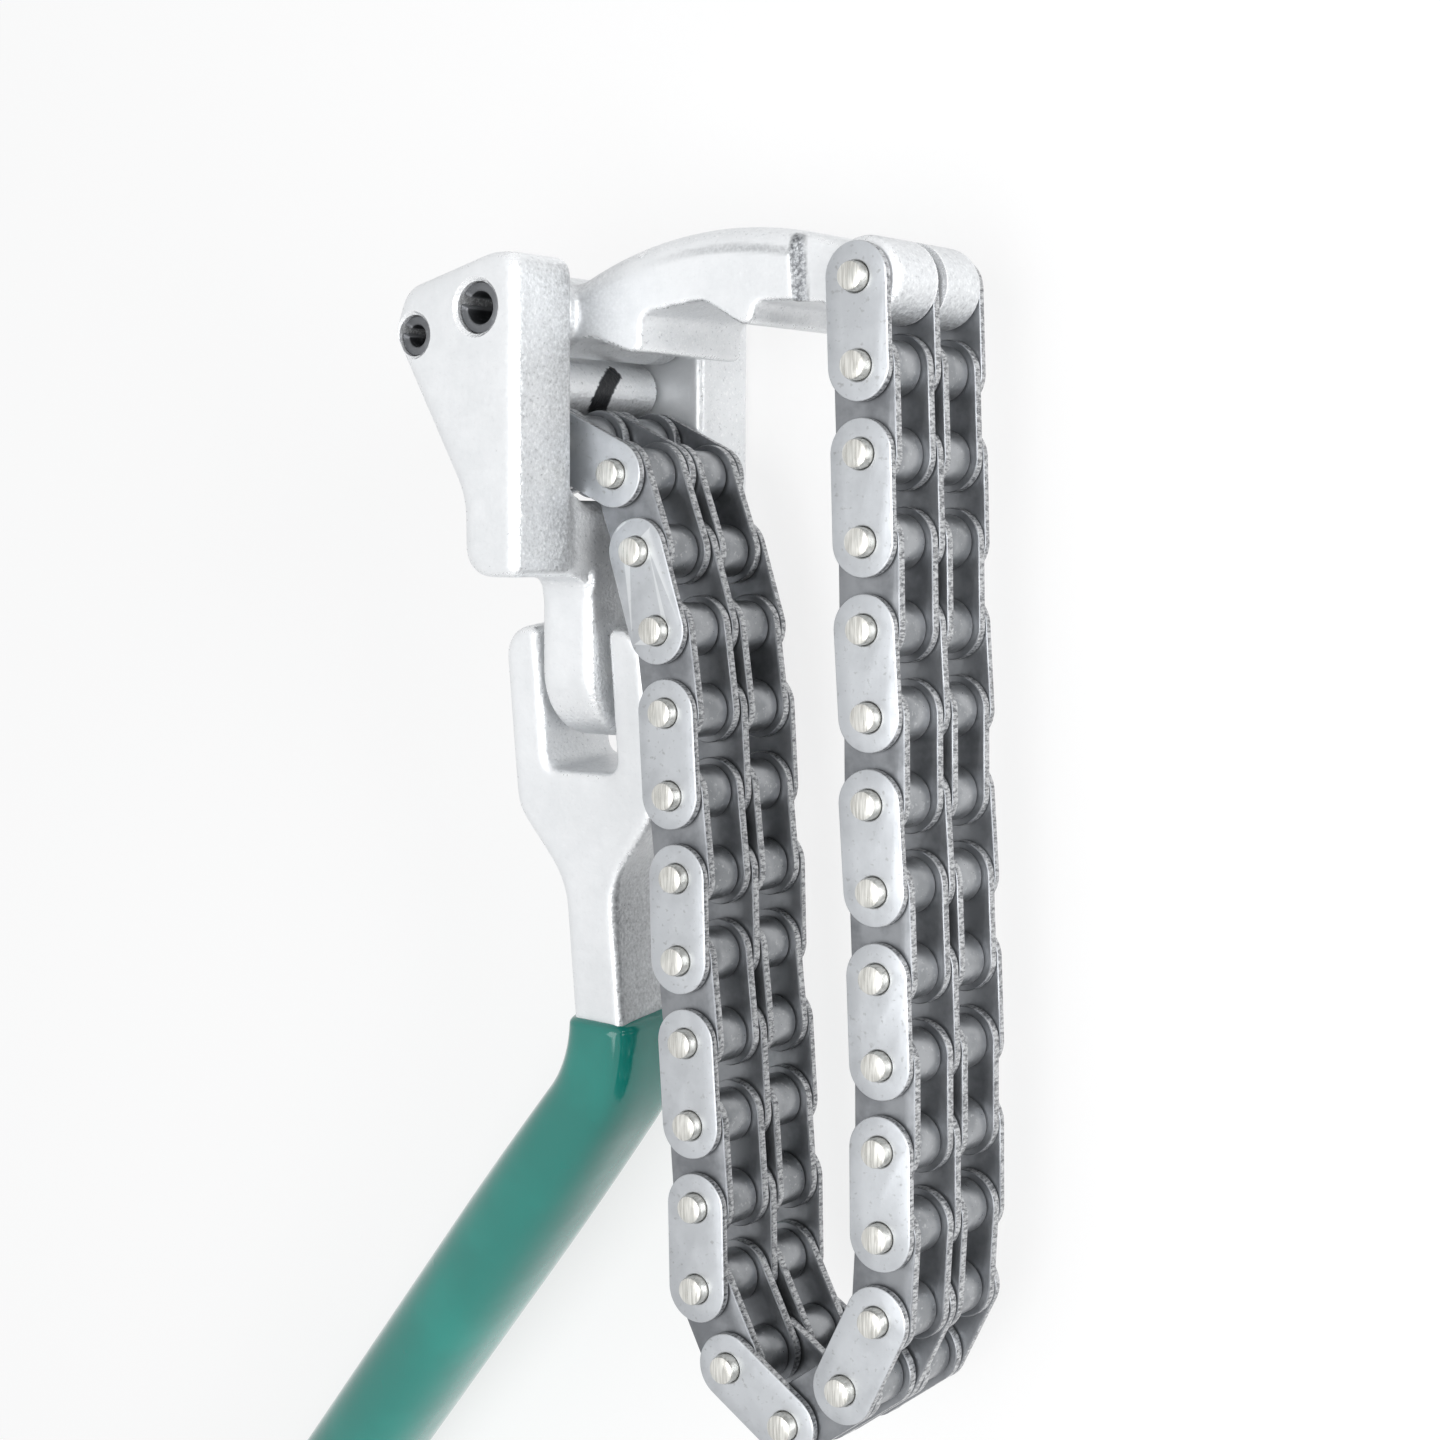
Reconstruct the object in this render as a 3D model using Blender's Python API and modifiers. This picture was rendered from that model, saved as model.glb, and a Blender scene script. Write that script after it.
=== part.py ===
"""Chain filter wrench: forged head, toothed arm, duplex roller chain, swivelling handle.

The wrench lies on its side. X runs from the head to the end of the arm, Y runs from the
handle to the head, and Z points up, along every pin of the chain. Everything is drawn around
the arm's pivot at half the head's width. Each piece has its origin on the axis it turns on,
and an empty on the same pivot carries them all above the floor. Sizes are in millimetres.
"""
import math

import bmesh
import bpy
from mathutils import Matrix, Vector

MM = 0.001
WRENCH = "chain_filter_wrench"
WORKSHOP = "workshop"

# Clearances between pieces, and how far a cutter stands out of what it cuts.
BORE_GAP = 0.3
SIDE_GAP = 0.4
PLATE_GAP = 0.18
SPARE = 2.0

# Head: two cheeks, a base between them and a tongue for the handle.
# Outline corners are (x, y, fillet radius).
HEAD_HALF = 22.94
CHEEK_INNER = 12.5
CHEEK_FRONT = 6.05
CHEEK_BOTTOM = -30.65
CHEEK_TOP = 6.2
CHEEK_BACK = (
    (1.9, CHEEK_TOP, 4.0), (-10.9, 2.7, 3.0), (-12.9, -2.4, 2.6), (-2.1, -21.5, 8.0),
    (-2.0, CHEEK_BOTTOM, 3.4),
)
CHEEK_EDGE = 0.9
BASE_BACK = -2.1
BASE_TOP = -21.7
BASE_INSET = 0.3
TONGUE_BACK = -2.6
TONGUE_FRONT = 5.3
TONGUE_RADIUS = 8.3
TONGUE_ROOT = -27.0
TONGUE_EDGE = 0.8

# Pivots of the head, the spring pins in them and the handle's pin.
ANCHOR_PIVOT = (-9.6, -2.8)
FLEX_Y = -41.7
ARM_PIN_RADIUS = 2.8
ANCHOR_PIN_RADIUS = 2.2
FLEX_PIN_RADIUS = 2.5
SPRING_WALL = 1.15
SPRING_SEAM = 24.0
PIN_RECESS = 0.8

# Duplex roller chain.
PITCH = 9.525
LINKS = 28
OPEN_PIVOT = 14
PLATE_RADIUS = 3.92
ROLLER_RADIUS = 3.175
CHAIN_PIN_RADIUS = 1.64
BUSH_BORE = 2.18
OPEN_BORE = 2.6
ROLLER_HALF = 2.86
PLATE_THICK = 1.3
OUTER_THICK = 1.04
MIDDLE_HALF = 0.65
MIDDLE_GAP = 0.31
PIN_PROUD = 1.4
PLATE_STEPS = 4
ROLLER_SIDES = 8
PIN_SIDES = 6
BORE_SIDES = 6
FIRST_PIN = (43.21, 2.18)
# Direction of each link from its lower-numbered pin, in degrees from +X, as the chain hangs.
LINK_ANGLES = (
    -87.5, -87.5, -87.9, -88.5, -85.9, -89.1, -85.7, -87.1, -87.3, -89.2, -89.0, -92.9,
    -116.4, -143.7, -212.8, -242.2, -268.5, -265.2, -265.7, -263.6, -268.1, -263.7,
    -266.3, -261.8, -252.0, -249.5, -204.6, -164.8,
)
STRAND_OFFSET = MIDDLE_HALF + MIDDLE_GAP + PLATE_THICK + ROLLER_HALF
STRAND_EDGE = STRAND_OFFSET + ROLLER_HALF + PLATE_THICK
OUTER_LOW = STRAND_EDGE + PLATE_GAP
OUTER_HIGH = OUTER_LOW + OUTER_THICK
PIN_HALF = OUTER_HIGH + PIN_PROUD

# Arm: hub, arched spine, two saw teeth and two lugs for the chain's first pin.
ARM_HALF = 10.1
ARM_EDGE = 1.1
HUB_RADIUS = 4.7
HUB_HALF = CHEEK_INNER - SIDE_GAP
CROWN = (25.5, 8.8)
ARCH_RADIUS = 48.0
# Each tooth is (ramp start, ramp height, front face, tip height, root height).
TEETH = ((6.4, -2.9, 13.8, -4.8, -0.5), (22.4, 0.7, 29.36, -2.2, 0.2))
TOOTH_LAND = 1.8
NECK_HALF = 3.2
LUG_RADIUS = 4.7
LUG_HALF = STRAND_EDGE - SIDE_GAP + PLATE_GAP
LUG_REACH = 7.8
SLOT_REACH = 7.0
SLOT_HALF = MIDDLE_HALF + BORE_GAP

# Anchor: eye on its spring pin, grooved barrel in front, two blades to the chain's last pin.
ANCHOR_HALF = CHEEK_INNER - SIDE_GAP
ANCHOR_EYE = 4.1
BARREL_CENTRE = (-3.5, -7.9)
BARREL_RADIUS = 3.4
GROOVE_HALF = 0.7
BLADE_INNER = STRAND_EDGE + SIDE_GAP
BLADE_RADIUS = 3.6

# Handle: fork around the tongue, shank, bend and dipped grip.
FORK_HALF = 6.6
FORK_CENTRE = 1.2
FORK_OUTER = 10.6
FORK_TOP = -36.0
FORK_CORNER = 4.4
SLOT_CORNER = 1.3
FORK_EDGE = 0.8
SLOT_END = -53.6
SLOT_SIDE = 5.3
SHOULDER = -58.5
NECK = -67.3
SHANK_HALF = 3.75
BEND_POINT = (1.0, -91.5)
BEND_DEGREES = 40.0
BEND_RADIUS = 22.0
SHANK_TOP = -75.0
GRIP_TOP = -84.6
GRIP_LENGTH = 118.0
GRIP_THICK = 6.5
GRIP_WIDE = 8.6
GRIP_WALL = 1.1
GRIP_SIDES = 14
GRIP_SWELL = 42.0
GRIP_ROUND = 6.2
GRIP_END_WALL = 6.0

# Where the floor and the rest mount lie from the arm's pivot.
REST_POINT = (-1.5, -13.0)

# Colour, roughness and metallic value of each finish.
FINISHES = {
    "zinc_forging": ((0.62, 0.62, 0.60), 0.36, 1.0),
    "chain_steel": ((0.33, 0.33, 0.32), 0.38, 1.0),
    "black_steel": ((0.03, 0.03, 0.03), 0.45, 0.8),
    "pin_steel": ((0.58, 0.57, 0.55), 0.30, 1.0),
    "dipped_grip": ((0.03, 0.25, 0.20), 0.25, 0.0),
}


def clear_scene() -> None:
    """Removes everything the new file starts with."""
    for item in list(bpy.data.objects):
        bpy.data.objects.remove(item, do_unlink=True)


def make_finishes() -> dict:
    """Makes one Principled material for each finish."""
    made = {}
    for name, (colour, roughness, metallic) in FINISHES.items():
        material = bpy.data.materials.new(name)
        material.use_nodes = True
        shader = material.node_tree.nodes["Principled BSDF"]
        shader.inputs["Base Color"].default_value = (*colour, 1.0)
        shader.inputs["Roughness"].default_value = roughness
        shader.inputs["Metallic"].default_value = metallic
        made[name] = material
    return made


def arc(centre, radius, start, end, steps):
    """Returns points on an arc, angles in degrees."""
    points = []
    for index in range(steps + 1):
        angle = math.radians(start + (end - start) * index / steps)
        points.append((centre[0] + radius * math.cos(angle), centre[1] + radius * math.sin(angle)))
    return points


def rounded(corners):
    """Rounds the corners of a closed outline.

    Args:
        corners: (x, y, fillet radius) of each corner, in order round the outline.

    Returns:
        The outline's points, with a short run of points on each fillet.
    """
    places = [Vector(corner[:2]) for corner in corners]
    sides = [place - places[index - 1] for index, place in enumerate(places)]
    sides.append(sides[0])
    turns = [sides[index].angle(sides[index + 1]) for index in range(len(places))]
    wanted = [corner[2] * math.tan(turn / 2) for corner, turn in zip(corners, turns)]
    points = []
    for index, corner in enumerate(places):
        turn = turns[index]
        reach = wanted[index]
        if reach <= 0.0 or turn < 0.02:
            points.append((corner.x, corner.y))
            continue
        following = (index + 1) % len(places)
        for other, side in ((index - 1, sides[index]), (following, sides[index + 1])):
            share = wanted[index] / (wanted[index] + wanted[other])
            reach = min(reach, 0.96 * side.length * share)
        first = corner - sides[index].normalized() * reach
        last = corner + sides[index + 1].normalized() * reach
        steps = max(1, round(math.degrees(turn) / 24.0))
        for step in range(steps + 1):
            share = step / steps
            place = first.lerp(corner, share).lerp(corner.lerp(last, share), share)
            points.append((place.x, place.y))
    return points


def collection(name):
    """Returns the named collection, made on first use."""
    found = bpy.data.collections.get(name)
    if found is None:
        found = bpy.data.collections.new(name)
        bpy.context.scene.collection.children.link(found)
    return found


def new_object(name, data, place=WORKSHOP):
    """Adds an object with the given data to a collection."""
    item = bpy.data.objects.new(name, data)
    collection(place).objects.link(item)
    return item


def to_mesh(source, name):
    """Turns a curve object into a welded mesh object with the same name."""
    graph = bpy.context.evaluated_depsgraph_get()
    mesh = bpy.data.meshes.new_from_object(source.evaluated_get(graph))
    bpy.data.objects.remove(source, do_unlink=True)
    build = bmesh.new()
    build.from_mesh(mesh)
    bmesh.ops.remove_doubles(build, verts=build.verts, dist=0.002 * MM)
    bmesh.ops.dissolve_limit(build, angle_limit=0.01, verts=build.verts, edges=build.edges)
    bmesh.ops.recalc_face_normals(build, faces=build.faces)
    build.to_mesh(mesh)
    build.free()
    mesh.name = name
    return new_object(name, mesh)


def flat_curve(name, outline):
    """A closed 2D curve through an outline given in millimetres."""
    curve = bpy.data.curves.new(name, "CURVE")
    curve.dimensions = "2D"
    curve.fill_mode = "BOTH"
    spline = curve.splines.new("POLY")
    spline.points.add(len(outline) - 1)
    for point, place in zip(spline.points, outline):
        point.co = (place[0] * MM, place[1] * MM, 0.0, 1.0)
    spline.use_cyclic_u = True
    return curve


def slab(name, outline, low, high):
    """Extrudes a closed outline from one height to another.

    Args:
        name: Name of the new object.
        outline: Points of the outer edge in millimetres.
        low: Lower height in millimetres.
        high: Upper height in millimetres.

    Returns:
        The new mesh object, in metres.
    """
    curve = flat_curve(name, outline)
    curve.extrude = (high - low) / 2 * MM
    item = to_mesh(new_object(name, curve), name)
    item.data.transform(Matrix.Translation((0.0, 0.0, (low + high) / 2 * MM)))
    return item


def rod(name, centre, radius, low, high, sides):
    """A round bar along Z with a flat facing each axis."""
    build = bmesh.new()
    bmesh.ops.create_cone(
        build, cap_ends=True, segments=sides, radius1=radius * MM, radius2=radius * MM,
        depth=(high - low) * MM,
    )
    mesh = bpy.data.meshes.new(name)
    build.to_mesh(mesh)
    build.free()
    middle = Matrix.Translation((centre[0] * MM, centre[1] * MM, (low + high) / 2 * MM))
    mesh.transform(middle @ Matrix.Rotation(math.pi / sides, 4, "Z"))
    return new_object(name, mesh)


def cross_rod(name, y, radius, low, high, sides):
    """A round bar along X at a given Y."""
    bar = rod(name, (0.0, 0.0), radius, low, high, sides)
    turn = Matrix.Rotation(math.radians(90.0), 4, "Y")
    bar.data.transform(Matrix.Translation((0.0, y * MM, 0.0)) @ turn)
    return bar


def bake(item):
    """Applies an object's modifiers to its mesh."""
    graph = bpy.context.evaluated_depsgraph_get()
    mesh = bpy.data.meshes.new_from_object(item.evaluated_get(graph))
    item.modifiers.clear()
    old = item.data
    item.data = mesh
    mesh.name = item.name
    bpy.data.meshes.remove(old)
    return item


def combine(target, tool, operation):
    """Runs one exact Boolean and removes the tool."""
    step = target.modifiers.new(operation.lower(), "BOOLEAN")
    step.solver = "EXACT"
    step.operation = operation
    step.object = tool
    bake(target)
    bpy.data.objects.remove(tool, do_unlink=True)
    return target


def join(target, *tools):
    """Fuses tools into the target."""
    for tool in tools:
        combine(target, tool, "UNION")
    return target


def cut(target, *tools):
    """Cuts tools out of the target."""
    for tool in tools:
        combine(target, tool, "DIFFERENCE")
    return target


def soften(item, width, angle=50.0):
    """Bevels an object's sharp edges with one flat."""
    step = item.modifiers.new("edges", "BEVEL")
    step.width = width * MM
    step.segments = 1
    step.limit_method = "ANGLE"
    step.angle_limit = math.radians(angle)
    return bake(item)


def sweep(name, path, profile):
    """Sweeps a closed profile along a flat path.

    Args:
        name: Name of the new object.
        path: (place, scale) pairs down the path, in millimetres.
        profile: Points across (x) and up (y) in millimetres.

    Returns:
        The new mesh object, closed at both ends.
    """
    shape = new_object("profile", flat_curve("profile", profile))
    shape.data.fill_mode = "NONE"
    curve = bpy.data.curves.new(name, "CURVE")
    curve.dimensions = "3D"
    curve.twist_mode = "Z_UP"
    curve.bevel_mode = "OBJECT"
    curve.bevel_object = shape
    curve.use_fill_caps = True
    spline = curve.splines.new("POLY")
    spline.points.add(len(path) - 1)
    for point, (place, scale) in zip(spline.points, path):
        point.co = (place.x * MM, place.y * MM, 0.0, 1.0)
        point.radius = scale
    item = to_mesh(new_object(name, curve), name)
    bpy.data.objects.remove(shape, do_unlink=True)
    return item


def loft(name, rings):
    """Closed solid through rings with as many points each, given in millimetres."""
    build = bmesh.new()
    rows = [[build.verts.new(Vector(point) * MM) for point in ring] for ring in rings]
    for row, after in zip(rows, rows[1:]):
        for index in range(len(row)):
            build.faces.new((row[index - 1], row[index], after[index], after[index - 1]))
    build.faces.new(rows[0])
    build.faces.new(rows[-1])
    bmesh.ops.recalc_face_normals(build, faces=build.faces)
    mesh = bpy.data.meshes.new(name)
    build.to_mesh(mesh)
    build.free()
    return new_object(name, mesh)


def chain_pins():
    """Returns the centre of every chain pin at rest."""
    places = [Vector(FIRST_PIN)]
    for degrees in LINK_ANGLES[:LINKS]:
        angle = math.radians(degrees)
        places.append(places[-1] + PITCH * Vector((math.cos(angle), math.sin(angle))))
    return places


def plate(name, low, high):
    """One chain plate with round ends, along +X from the origin."""
    outline = arc((PITCH, 0.0), PLATE_RADIUS, -90.0, 90.0, PLATE_STEPS)
    outline += arc((0.0, 0.0), PLATE_RADIUS, 90.0, 270.0, PLATE_STEPS)
    return slab(name, outline, low, high)


def outer_link_mesh():
    """Three plates riveted to two pins that run through both strands."""
    link = plate("outer_link", OUTER_LOW, OUTER_HIGH)
    for place in (0.0, PITCH):
        join(link, rod("pin", (place, 0.0), CHAIN_PIN_RADIUS, -PIN_HALF, PIN_HALF, PIN_SIDES))
    join(link, plate("far", -OUTER_HIGH, -OUTER_LOW), plate("middle", -MIDDLE_HALF, MIDDLE_HALF))
    return link


def inner_link_mesh(first_bore, last_bore):
    """Two plates and two bushed rollers of one strand, bored for the pins."""
    outside = ROLLER_HALF + PLATE_THICK
    link = plate("inner_link", ROLLER_HALF, outside)
    reach = ROLLER_HALF + PLATE_THICK / 3
    for place in (0.0, PITCH):
        join(link, rod("roller", (place, 0.0), ROLLER_RADIUS, -reach, reach, ROLLER_SIDES))
    join(link, plate("lower", -outside, -ROLLER_HALF))
    for place, bore in ((0.0, first_bore), (PITCH, last_bore)):
        cut(link, rod("bore", (place, 0.0), bore, -outside - SPARE, outside + SPARE, BORE_SIDES))
    return link


def make_chain(parent, material):
    """Adds every link along the chain's resting path; links of a kind share their mesh."""
    pins = chain_pins()
    outer = outer_link_mesh()
    inner = inner_link_mesh(BUSH_BORE, BUSH_BORE)
    opened = inner_link_mesh(BUSH_BORE, OPEN_BORE)
    for source in (outer, inner, opened):
        source.data.materials.clear()
        source.data.materials.append(material)
    for number in range(1, LINKS + 1):
        if number % 2 == 1:
            copies = ((f"outer_link_{number:02d}", outer, 0.0),)
        else:
            source = opened if number == OPEN_PIVOT else inner
            copies = (
                (f"inner_link_{number:02d}_near", source, STRAND_OFFSET),
                (f"inner_link_{number:02d}_far", source, -STRAND_OFFSET),
            )
        pin = pins[number - 1]
        for name, source, height in copies:
            link = new_object(name, source.data, WRENCH)
            link.parent = parent
            link.location = (pin.x * MM, pin.y * MM, height * MM)
            link.rotation_euler.z = math.radians(LINK_ANGLES[number - 1])
    for source in (outer, inner, opened):
        bpy.data.objects.remove(source, do_unlink=True)


def make_head():
    """Forged head: cheeks, base and tongue, bored for the two spring pins and the flex pin."""
    outline = rounded(
        ((CHEEK_FRONT, CHEEK_BOTTOM, CHEEK_EDGE), (CHEEK_FRONT, CHEEK_TOP, 1.5)) + CHEEK_BACK
    )
    head = soften(slab("head", outline, CHEEK_INNER, HEAD_HALF), CHEEK_EDGE)
    far = soften(slab("far_cheek", outline, -HEAD_HALF, -CHEEK_INNER), CHEEK_EDGE)
    front = CHEEK_FRONT - BASE_INSET
    bottom = CHEEK_BOTTOM + BASE_INSET
    base_outline = rounded((
        (BASE_BACK, bottom, 0.0), (front, bottom, CHEEK_EDGE), (front, BASE_TOP, 1.7),
        (BASE_BACK, BASE_TOP, CHEEK_EDGE),
    ))
    grip_width = CHEEK_INNER + CHEEK_EDGE * 1.5
    base = slab("base", base_outline, -grip_width, grip_width)
    tongue_outline = arc((FLEX_Y, 0.0), TONGUE_RADIUS, 90.0, 270.0, 12)
    tongue_outline += [(TONGUE_ROOT, -TONGUE_RADIUS), (TONGUE_ROOT, TONGUE_RADIUS)]
    tongue = slab("tongue", tongue_outline, TONGUE_BACK, TONGUE_FRONT)
    tongue.data.transform(Matrix(((0, 0, 1, 0), (1, 0, 0, 0), (0, 1, 0, 0), (0, 0, 0, 1))))
    soften(tongue, TONGUE_EDGE)
    join(head, base, far, tongue)
    limit = HEAD_HALF + SPARE
    arm_bore = ARM_PIN_RADIUS + BORE_GAP
    anchor_bore = ANCHOR_PIN_RADIUS + BORE_GAP
    flex_bore = FLEX_PIN_RADIUS + BORE_GAP
    cut(head, rod("arm_bore", (0.0, 0.0), arm_bore, -limit, limit, 16))
    cut(head, rod("anchor_bore", ANCHOR_PIVOT, anchor_bore, -limit, limit, 12))
    back = TONGUE_BACK - SPARE
    cut(head, cross_rod("flex_bore", FLEX_Y, flex_bore, back, TONGUE_FRONT + SPARE, 12))
    return head


def spring_pin(name, centre, radius, steps):
    """Slotted spring pin: a rolled tube with an open seam, set back from both cheeks."""
    half = HEAD_HALF - PIN_RECESS
    inner_seam = SPRING_SEAM * radius / (radius - SPRING_WALL) * 0.84
    outline = arc(centre, radius, SPRING_SEAM - 180.0, 180.0 - SPRING_SEAM, steps)
    outline += arc(centre, radius - SPRING_WALL, 180.0 - inner_seam, inner_seam - 180.0, steps)
    return slab(name, outline, -half, half)


def arm_outline():
    """Side view of the arm: neck, teeth underneath, nose and arched top."""
    corners = [(0.0, -NECK_HALF, 0.0)]
    for ramp, height, front, tip, root in TEETH:
        corners.append((ramp, height, 2.0))
        corners.append((front - TOOTH_LAND, tip, 0.6))
        corners.append((front, tip, 0.4))
        corners.append((front, root, 1.2))
    nose_x, nose_y = FIRST_PIN
    corners.append((nose_x - LUG_REACH * 0.7, TEETH[-1][4] - 0.3, 2.0))
    corners.append((nose_x - LUG_RADIUS * 0.6, nose_y - LUG_RADIUS * 0.8, 0.0))
    corners.append((nose_x, nose_y, 0.0))
    points = rounded(tuple(corners))
    centre = (CROWN[0], CROWN[1] - ARCH_RADIUS)
    end = math.degrees(math.asin((CROWN[0] - HUB_RADIUS) / ARCH_RADIUS))
    start = math.degrees(math.asin((nose_x - CROWN[0]) / ARCH_RADIUS))
    points += arc(centre, ARCH_RADIUS, 90.0 - start, 90.0 + end, 9)
    points.append((0.0, NECK_HALF))
    return points


def make_arm():
    """Toothed arm: hub, arched body, two saw teeth and two lugs."""
    nose_x, nose_y = FIRST_PIN
    arm = soften(slab("arm", arm_outline(), -ARM_HALF, ARM_HALF), ARM_EDGE, 20.0)
    below = nose_y - LUG_RADIUS - SPARE * 3
    above = CROWN[1] + SPARE * 3
    far = nose_x + LUG_RADIUS + SPARE
    start = nose_x - LUG_REACH
    shoulder = ((start, below), (far, below), (far, above), (start - 1.6, above))
    limit = ARM_HALF + SPARE
    cut(arm, slab("shoulder", shoulder, LUG_HALF, limit))
    cut(arm, slab("shoulder", shoulder, -limit, -LUG_HALF))
    join(arm, rod("hub", (0.0, 0.0), HUB_RADIUS, -HUB_HALF, HUB_HALF, 16))
    join(arm, rod("nose", FIRST_PIN, LUG_RADIUS, -LUG_HALF, LUG_HALF, 14))
    start = nose_x - SLOT_REACH
    slot = ((start, below), (far, below), (far, above), (start, above))
    cut(arm, slab("slot", slot, -SLOT_HALF, SLOT_HALF))
    hub_bore = ARM_PIN_RADIUS + BORE_GAP
    cut(arm, rod("hub_bore", (0.0, 0.0), hub_bore, -HUB_HALF - SPARE, HUB_HALF + SPARE, 14))
    cut(arm, rod("lug_bore", FIRST_PIN, BUSH_BORE, -LUG_HALF - SPARE, LUG_HALF + SPARE, BORE_SIDES))
    return arm


def make_anchor(last_pin):
    """Anchor: eye on its spring pin, grooved barrel in front, two blades to the last pin."""
    half = ANCHOR_HALF
    eye_x, eye_y = ANCHOR_PIVOT
    barrel_x, barrel_y = BARREL_CENTRE
    anchor = rod("anchor", ANCHOR_PIVOT, ANCHOR_EYE, -half, half, 14)
    barrel = rod("barrel", BARREL_CENTRE, BARREL_RADIUS, -half, half, 14)
    across = (Vector(BARREL_CENTRE) - Vector(ANCHOR_PIVOT)).normalized().orthogonal()
    web = []
    for place, radius in ((ANCHOR_PIVOT, ANCHOR_EYE), (BARREL_CENTRE, BARREL_RADIUS)):
        for side in (1.0, -1.0) if not web else (-1.0, 1.0):
            corner = Vector(place) + across * radius * 0.85 * side
            web.append((corner.x, corner.y))
    join(anchor, barrel, slab("web", web, -half, half))
    blade = (
        (eye_x - BLADE_RADIUS, eye_y - 0.8), (last_pin[0] - BLADE_RADIUS, last_pin[1]),
        (last_pin[0] + BLADE_RADIUS, last_pin[1]), (barrel_x - 0.9, barrel_y + 0.9),
    )
    for low, high in ((BLADE_INNER, half), (-half, -BLADE_INNER)):
        tip = rod("tip", last_pin, BLADE_RADIUS, low, high, 12)
        join(anchor, join(tip, slab("blade", blade, low, high)))
    edge = BARREL_RADIUS + SPARE
    groove = (
        (barrel_x, barrel_y - edge), (barrel_x + edge, barrel_y - edge),
        (barrel_x + edge, barrel_y + edge), (barrel_x, barrel_y + edge),
    )
    cut(anchor, slab("groove", groove, -GROOVE_HALF, GROOVE_HALF))
    reach = half + SPARE
    cut(anchor, rod("eye_bore", ANCHOR_PIVOT, ANCHOR_PIN_RADIUS + BORE_GAP, -reach, reach, 12))
    cut(anchor, rod("pin_bore", last_pin, BUSH_BORE, -reach, reach, BORE_SIDES))
    return anchor


def handle_points(start, end, stations=()):
    """Points down the handle's centreline, from one distance below the shank's top to another.

    Args:
        start: Distance of the first point in millimetres.
        end: Distance of the last point.
        stations: Distances of further points, apart from those on the bend.

    Returns:
        (distance, place) pairs.
    """
    corner = Vector(BEND_POINT)
    bend = math.radians(BEND_DEGREES)
    down = Vector((-math.sin(bend), -math.cos(bend)))
    tangent = BEND_RADIUS * math.tan(bend / 2)
    straight = SHANK_TOP - corner.y - tangent
    curved = BEND_RADIUS * bend
    centre = corner + Vector((-BEND_RADIUS, tangent))
    bends = [straight + curved * index / 5 for index in range(6)]
    wanted = {start, end, *stations, *(place for place in bends if start < place < end)}
    points = []
    for distance in sorted(wanted):
        if distance <= straight:
            place = Vector((corner.x, SHANK_TOP - distance))
        elif distance <= straight + curved:
            angle = (distance - straight) / BEND_RADIUS
            place = centre + BEND_RADIUS * Vector((math.cos(angle), -math.sin(angle)))
        else:
            place = corner + down * (tangent + distance - straight - curved)
        points.append((distance, place))
    return points


def handle_length():
    """Distance along the centreline from the shank's top to the grip's end."""
    bend = math.radians(BEND_DEGREES)
    lost = 2 * BEND_RADIUS * math.tan(bend / 2) - BEND_RADIUS * bend
    return SHANK_TOP - GRIP_TOP + GRIP_LENGTH - lost


def bar_profile(half, wide):
    """Flat bar with chamfered edges, across and up, for the pocket round the core."""
    edge = FORK_EDGE
    return (
        (-half, edge - wide), (edge - half, -wide), (half - edge, -wide), (half, edge - wide),
        (half, wide - edge), (half - edge, wide), (edge - half, wide), (-half, wide - edge),
    )


def across_path(places):
    """Unit vectors across a path at each of its places."""
    found = []
    for index in range(len(places)):
        before = places[max(0, index - 1)]
        after = places[min(len(places) - 1, index + 1)]
        along = (after - before).normalized()
        found.append(Vector((-along.y, along.x)))
    return found


def core_side(path, offset):
    """Corners along one side of a bar that follows a path, given half its width with a sign."""
    places = [place for _, place in path]
    side = [place + offset * across for place, across in zip(places, across_path(places))]
    return [(corner.x, corner.y, 0.0) for corner in side]


def make_handle():
    """Fork, shank and the core that runs down inside the grip."""
    left = FORK_CENTRE - FORK_OUTER
    right = FORK_CENTRE + FORK_OUTER
    slot_left = FORK_CENTRE - SLOT_SIDE
    slot_right = FORK_CENTRE + SLOT_SIDE
    core = handle_points(0.0, handle_length() - GRIP_END_WALL)
    left_side = core_side(core, -SHANK_HALF)
    right_side = core_side(core, SHANK_HALF)
    right_side.reverse()
    outline = rounded((
        (left, FORK_TOP, FORK_CORNER), (left, SHOULDER, 5.0), (left_side[0][0], NECK, 8.0),
        *left_side, *right_side,
        (right_side[-1][0], NECK, 8.0), (right, SHOULDER, 5.0), (right, FORK_TOP, FORK_CORNER),
        (slot_right, FORK_TOP, SLOT_CORNER), (slot_right, SLOT_END, 1.6),
        (slot_left, SLOT_END, 1.6), (slot_left, FORK_TOP, SLOT_CORNER),
    ))
    handle = soften(slab("handle", outline, -FORK_HALF, FORK_HALF), FORK_EDGE)
    reach = FORK_OUTER + SPARE
    bore = cross_rod(
        "flex_bore", FLEX_Y, FLEX_PIN_RADIUS + BORE_GAP, FORK_CENTRE - reach, FORK_CENTRE + reach, 12
    )
    return cut(handle, bore)


def grip_stations(start, end):
    """Distances where the grip's width changes: its swell below the lip and its rounded end."""
    swell = [start + GRIP_SWELL * share for share in (0.25, 0.5, 0.75, 1.0)]
    dome = [end - GRIP_ROUND * share for share in (0.15, 0.5, 1.0)]
    return swell + dome


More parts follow.
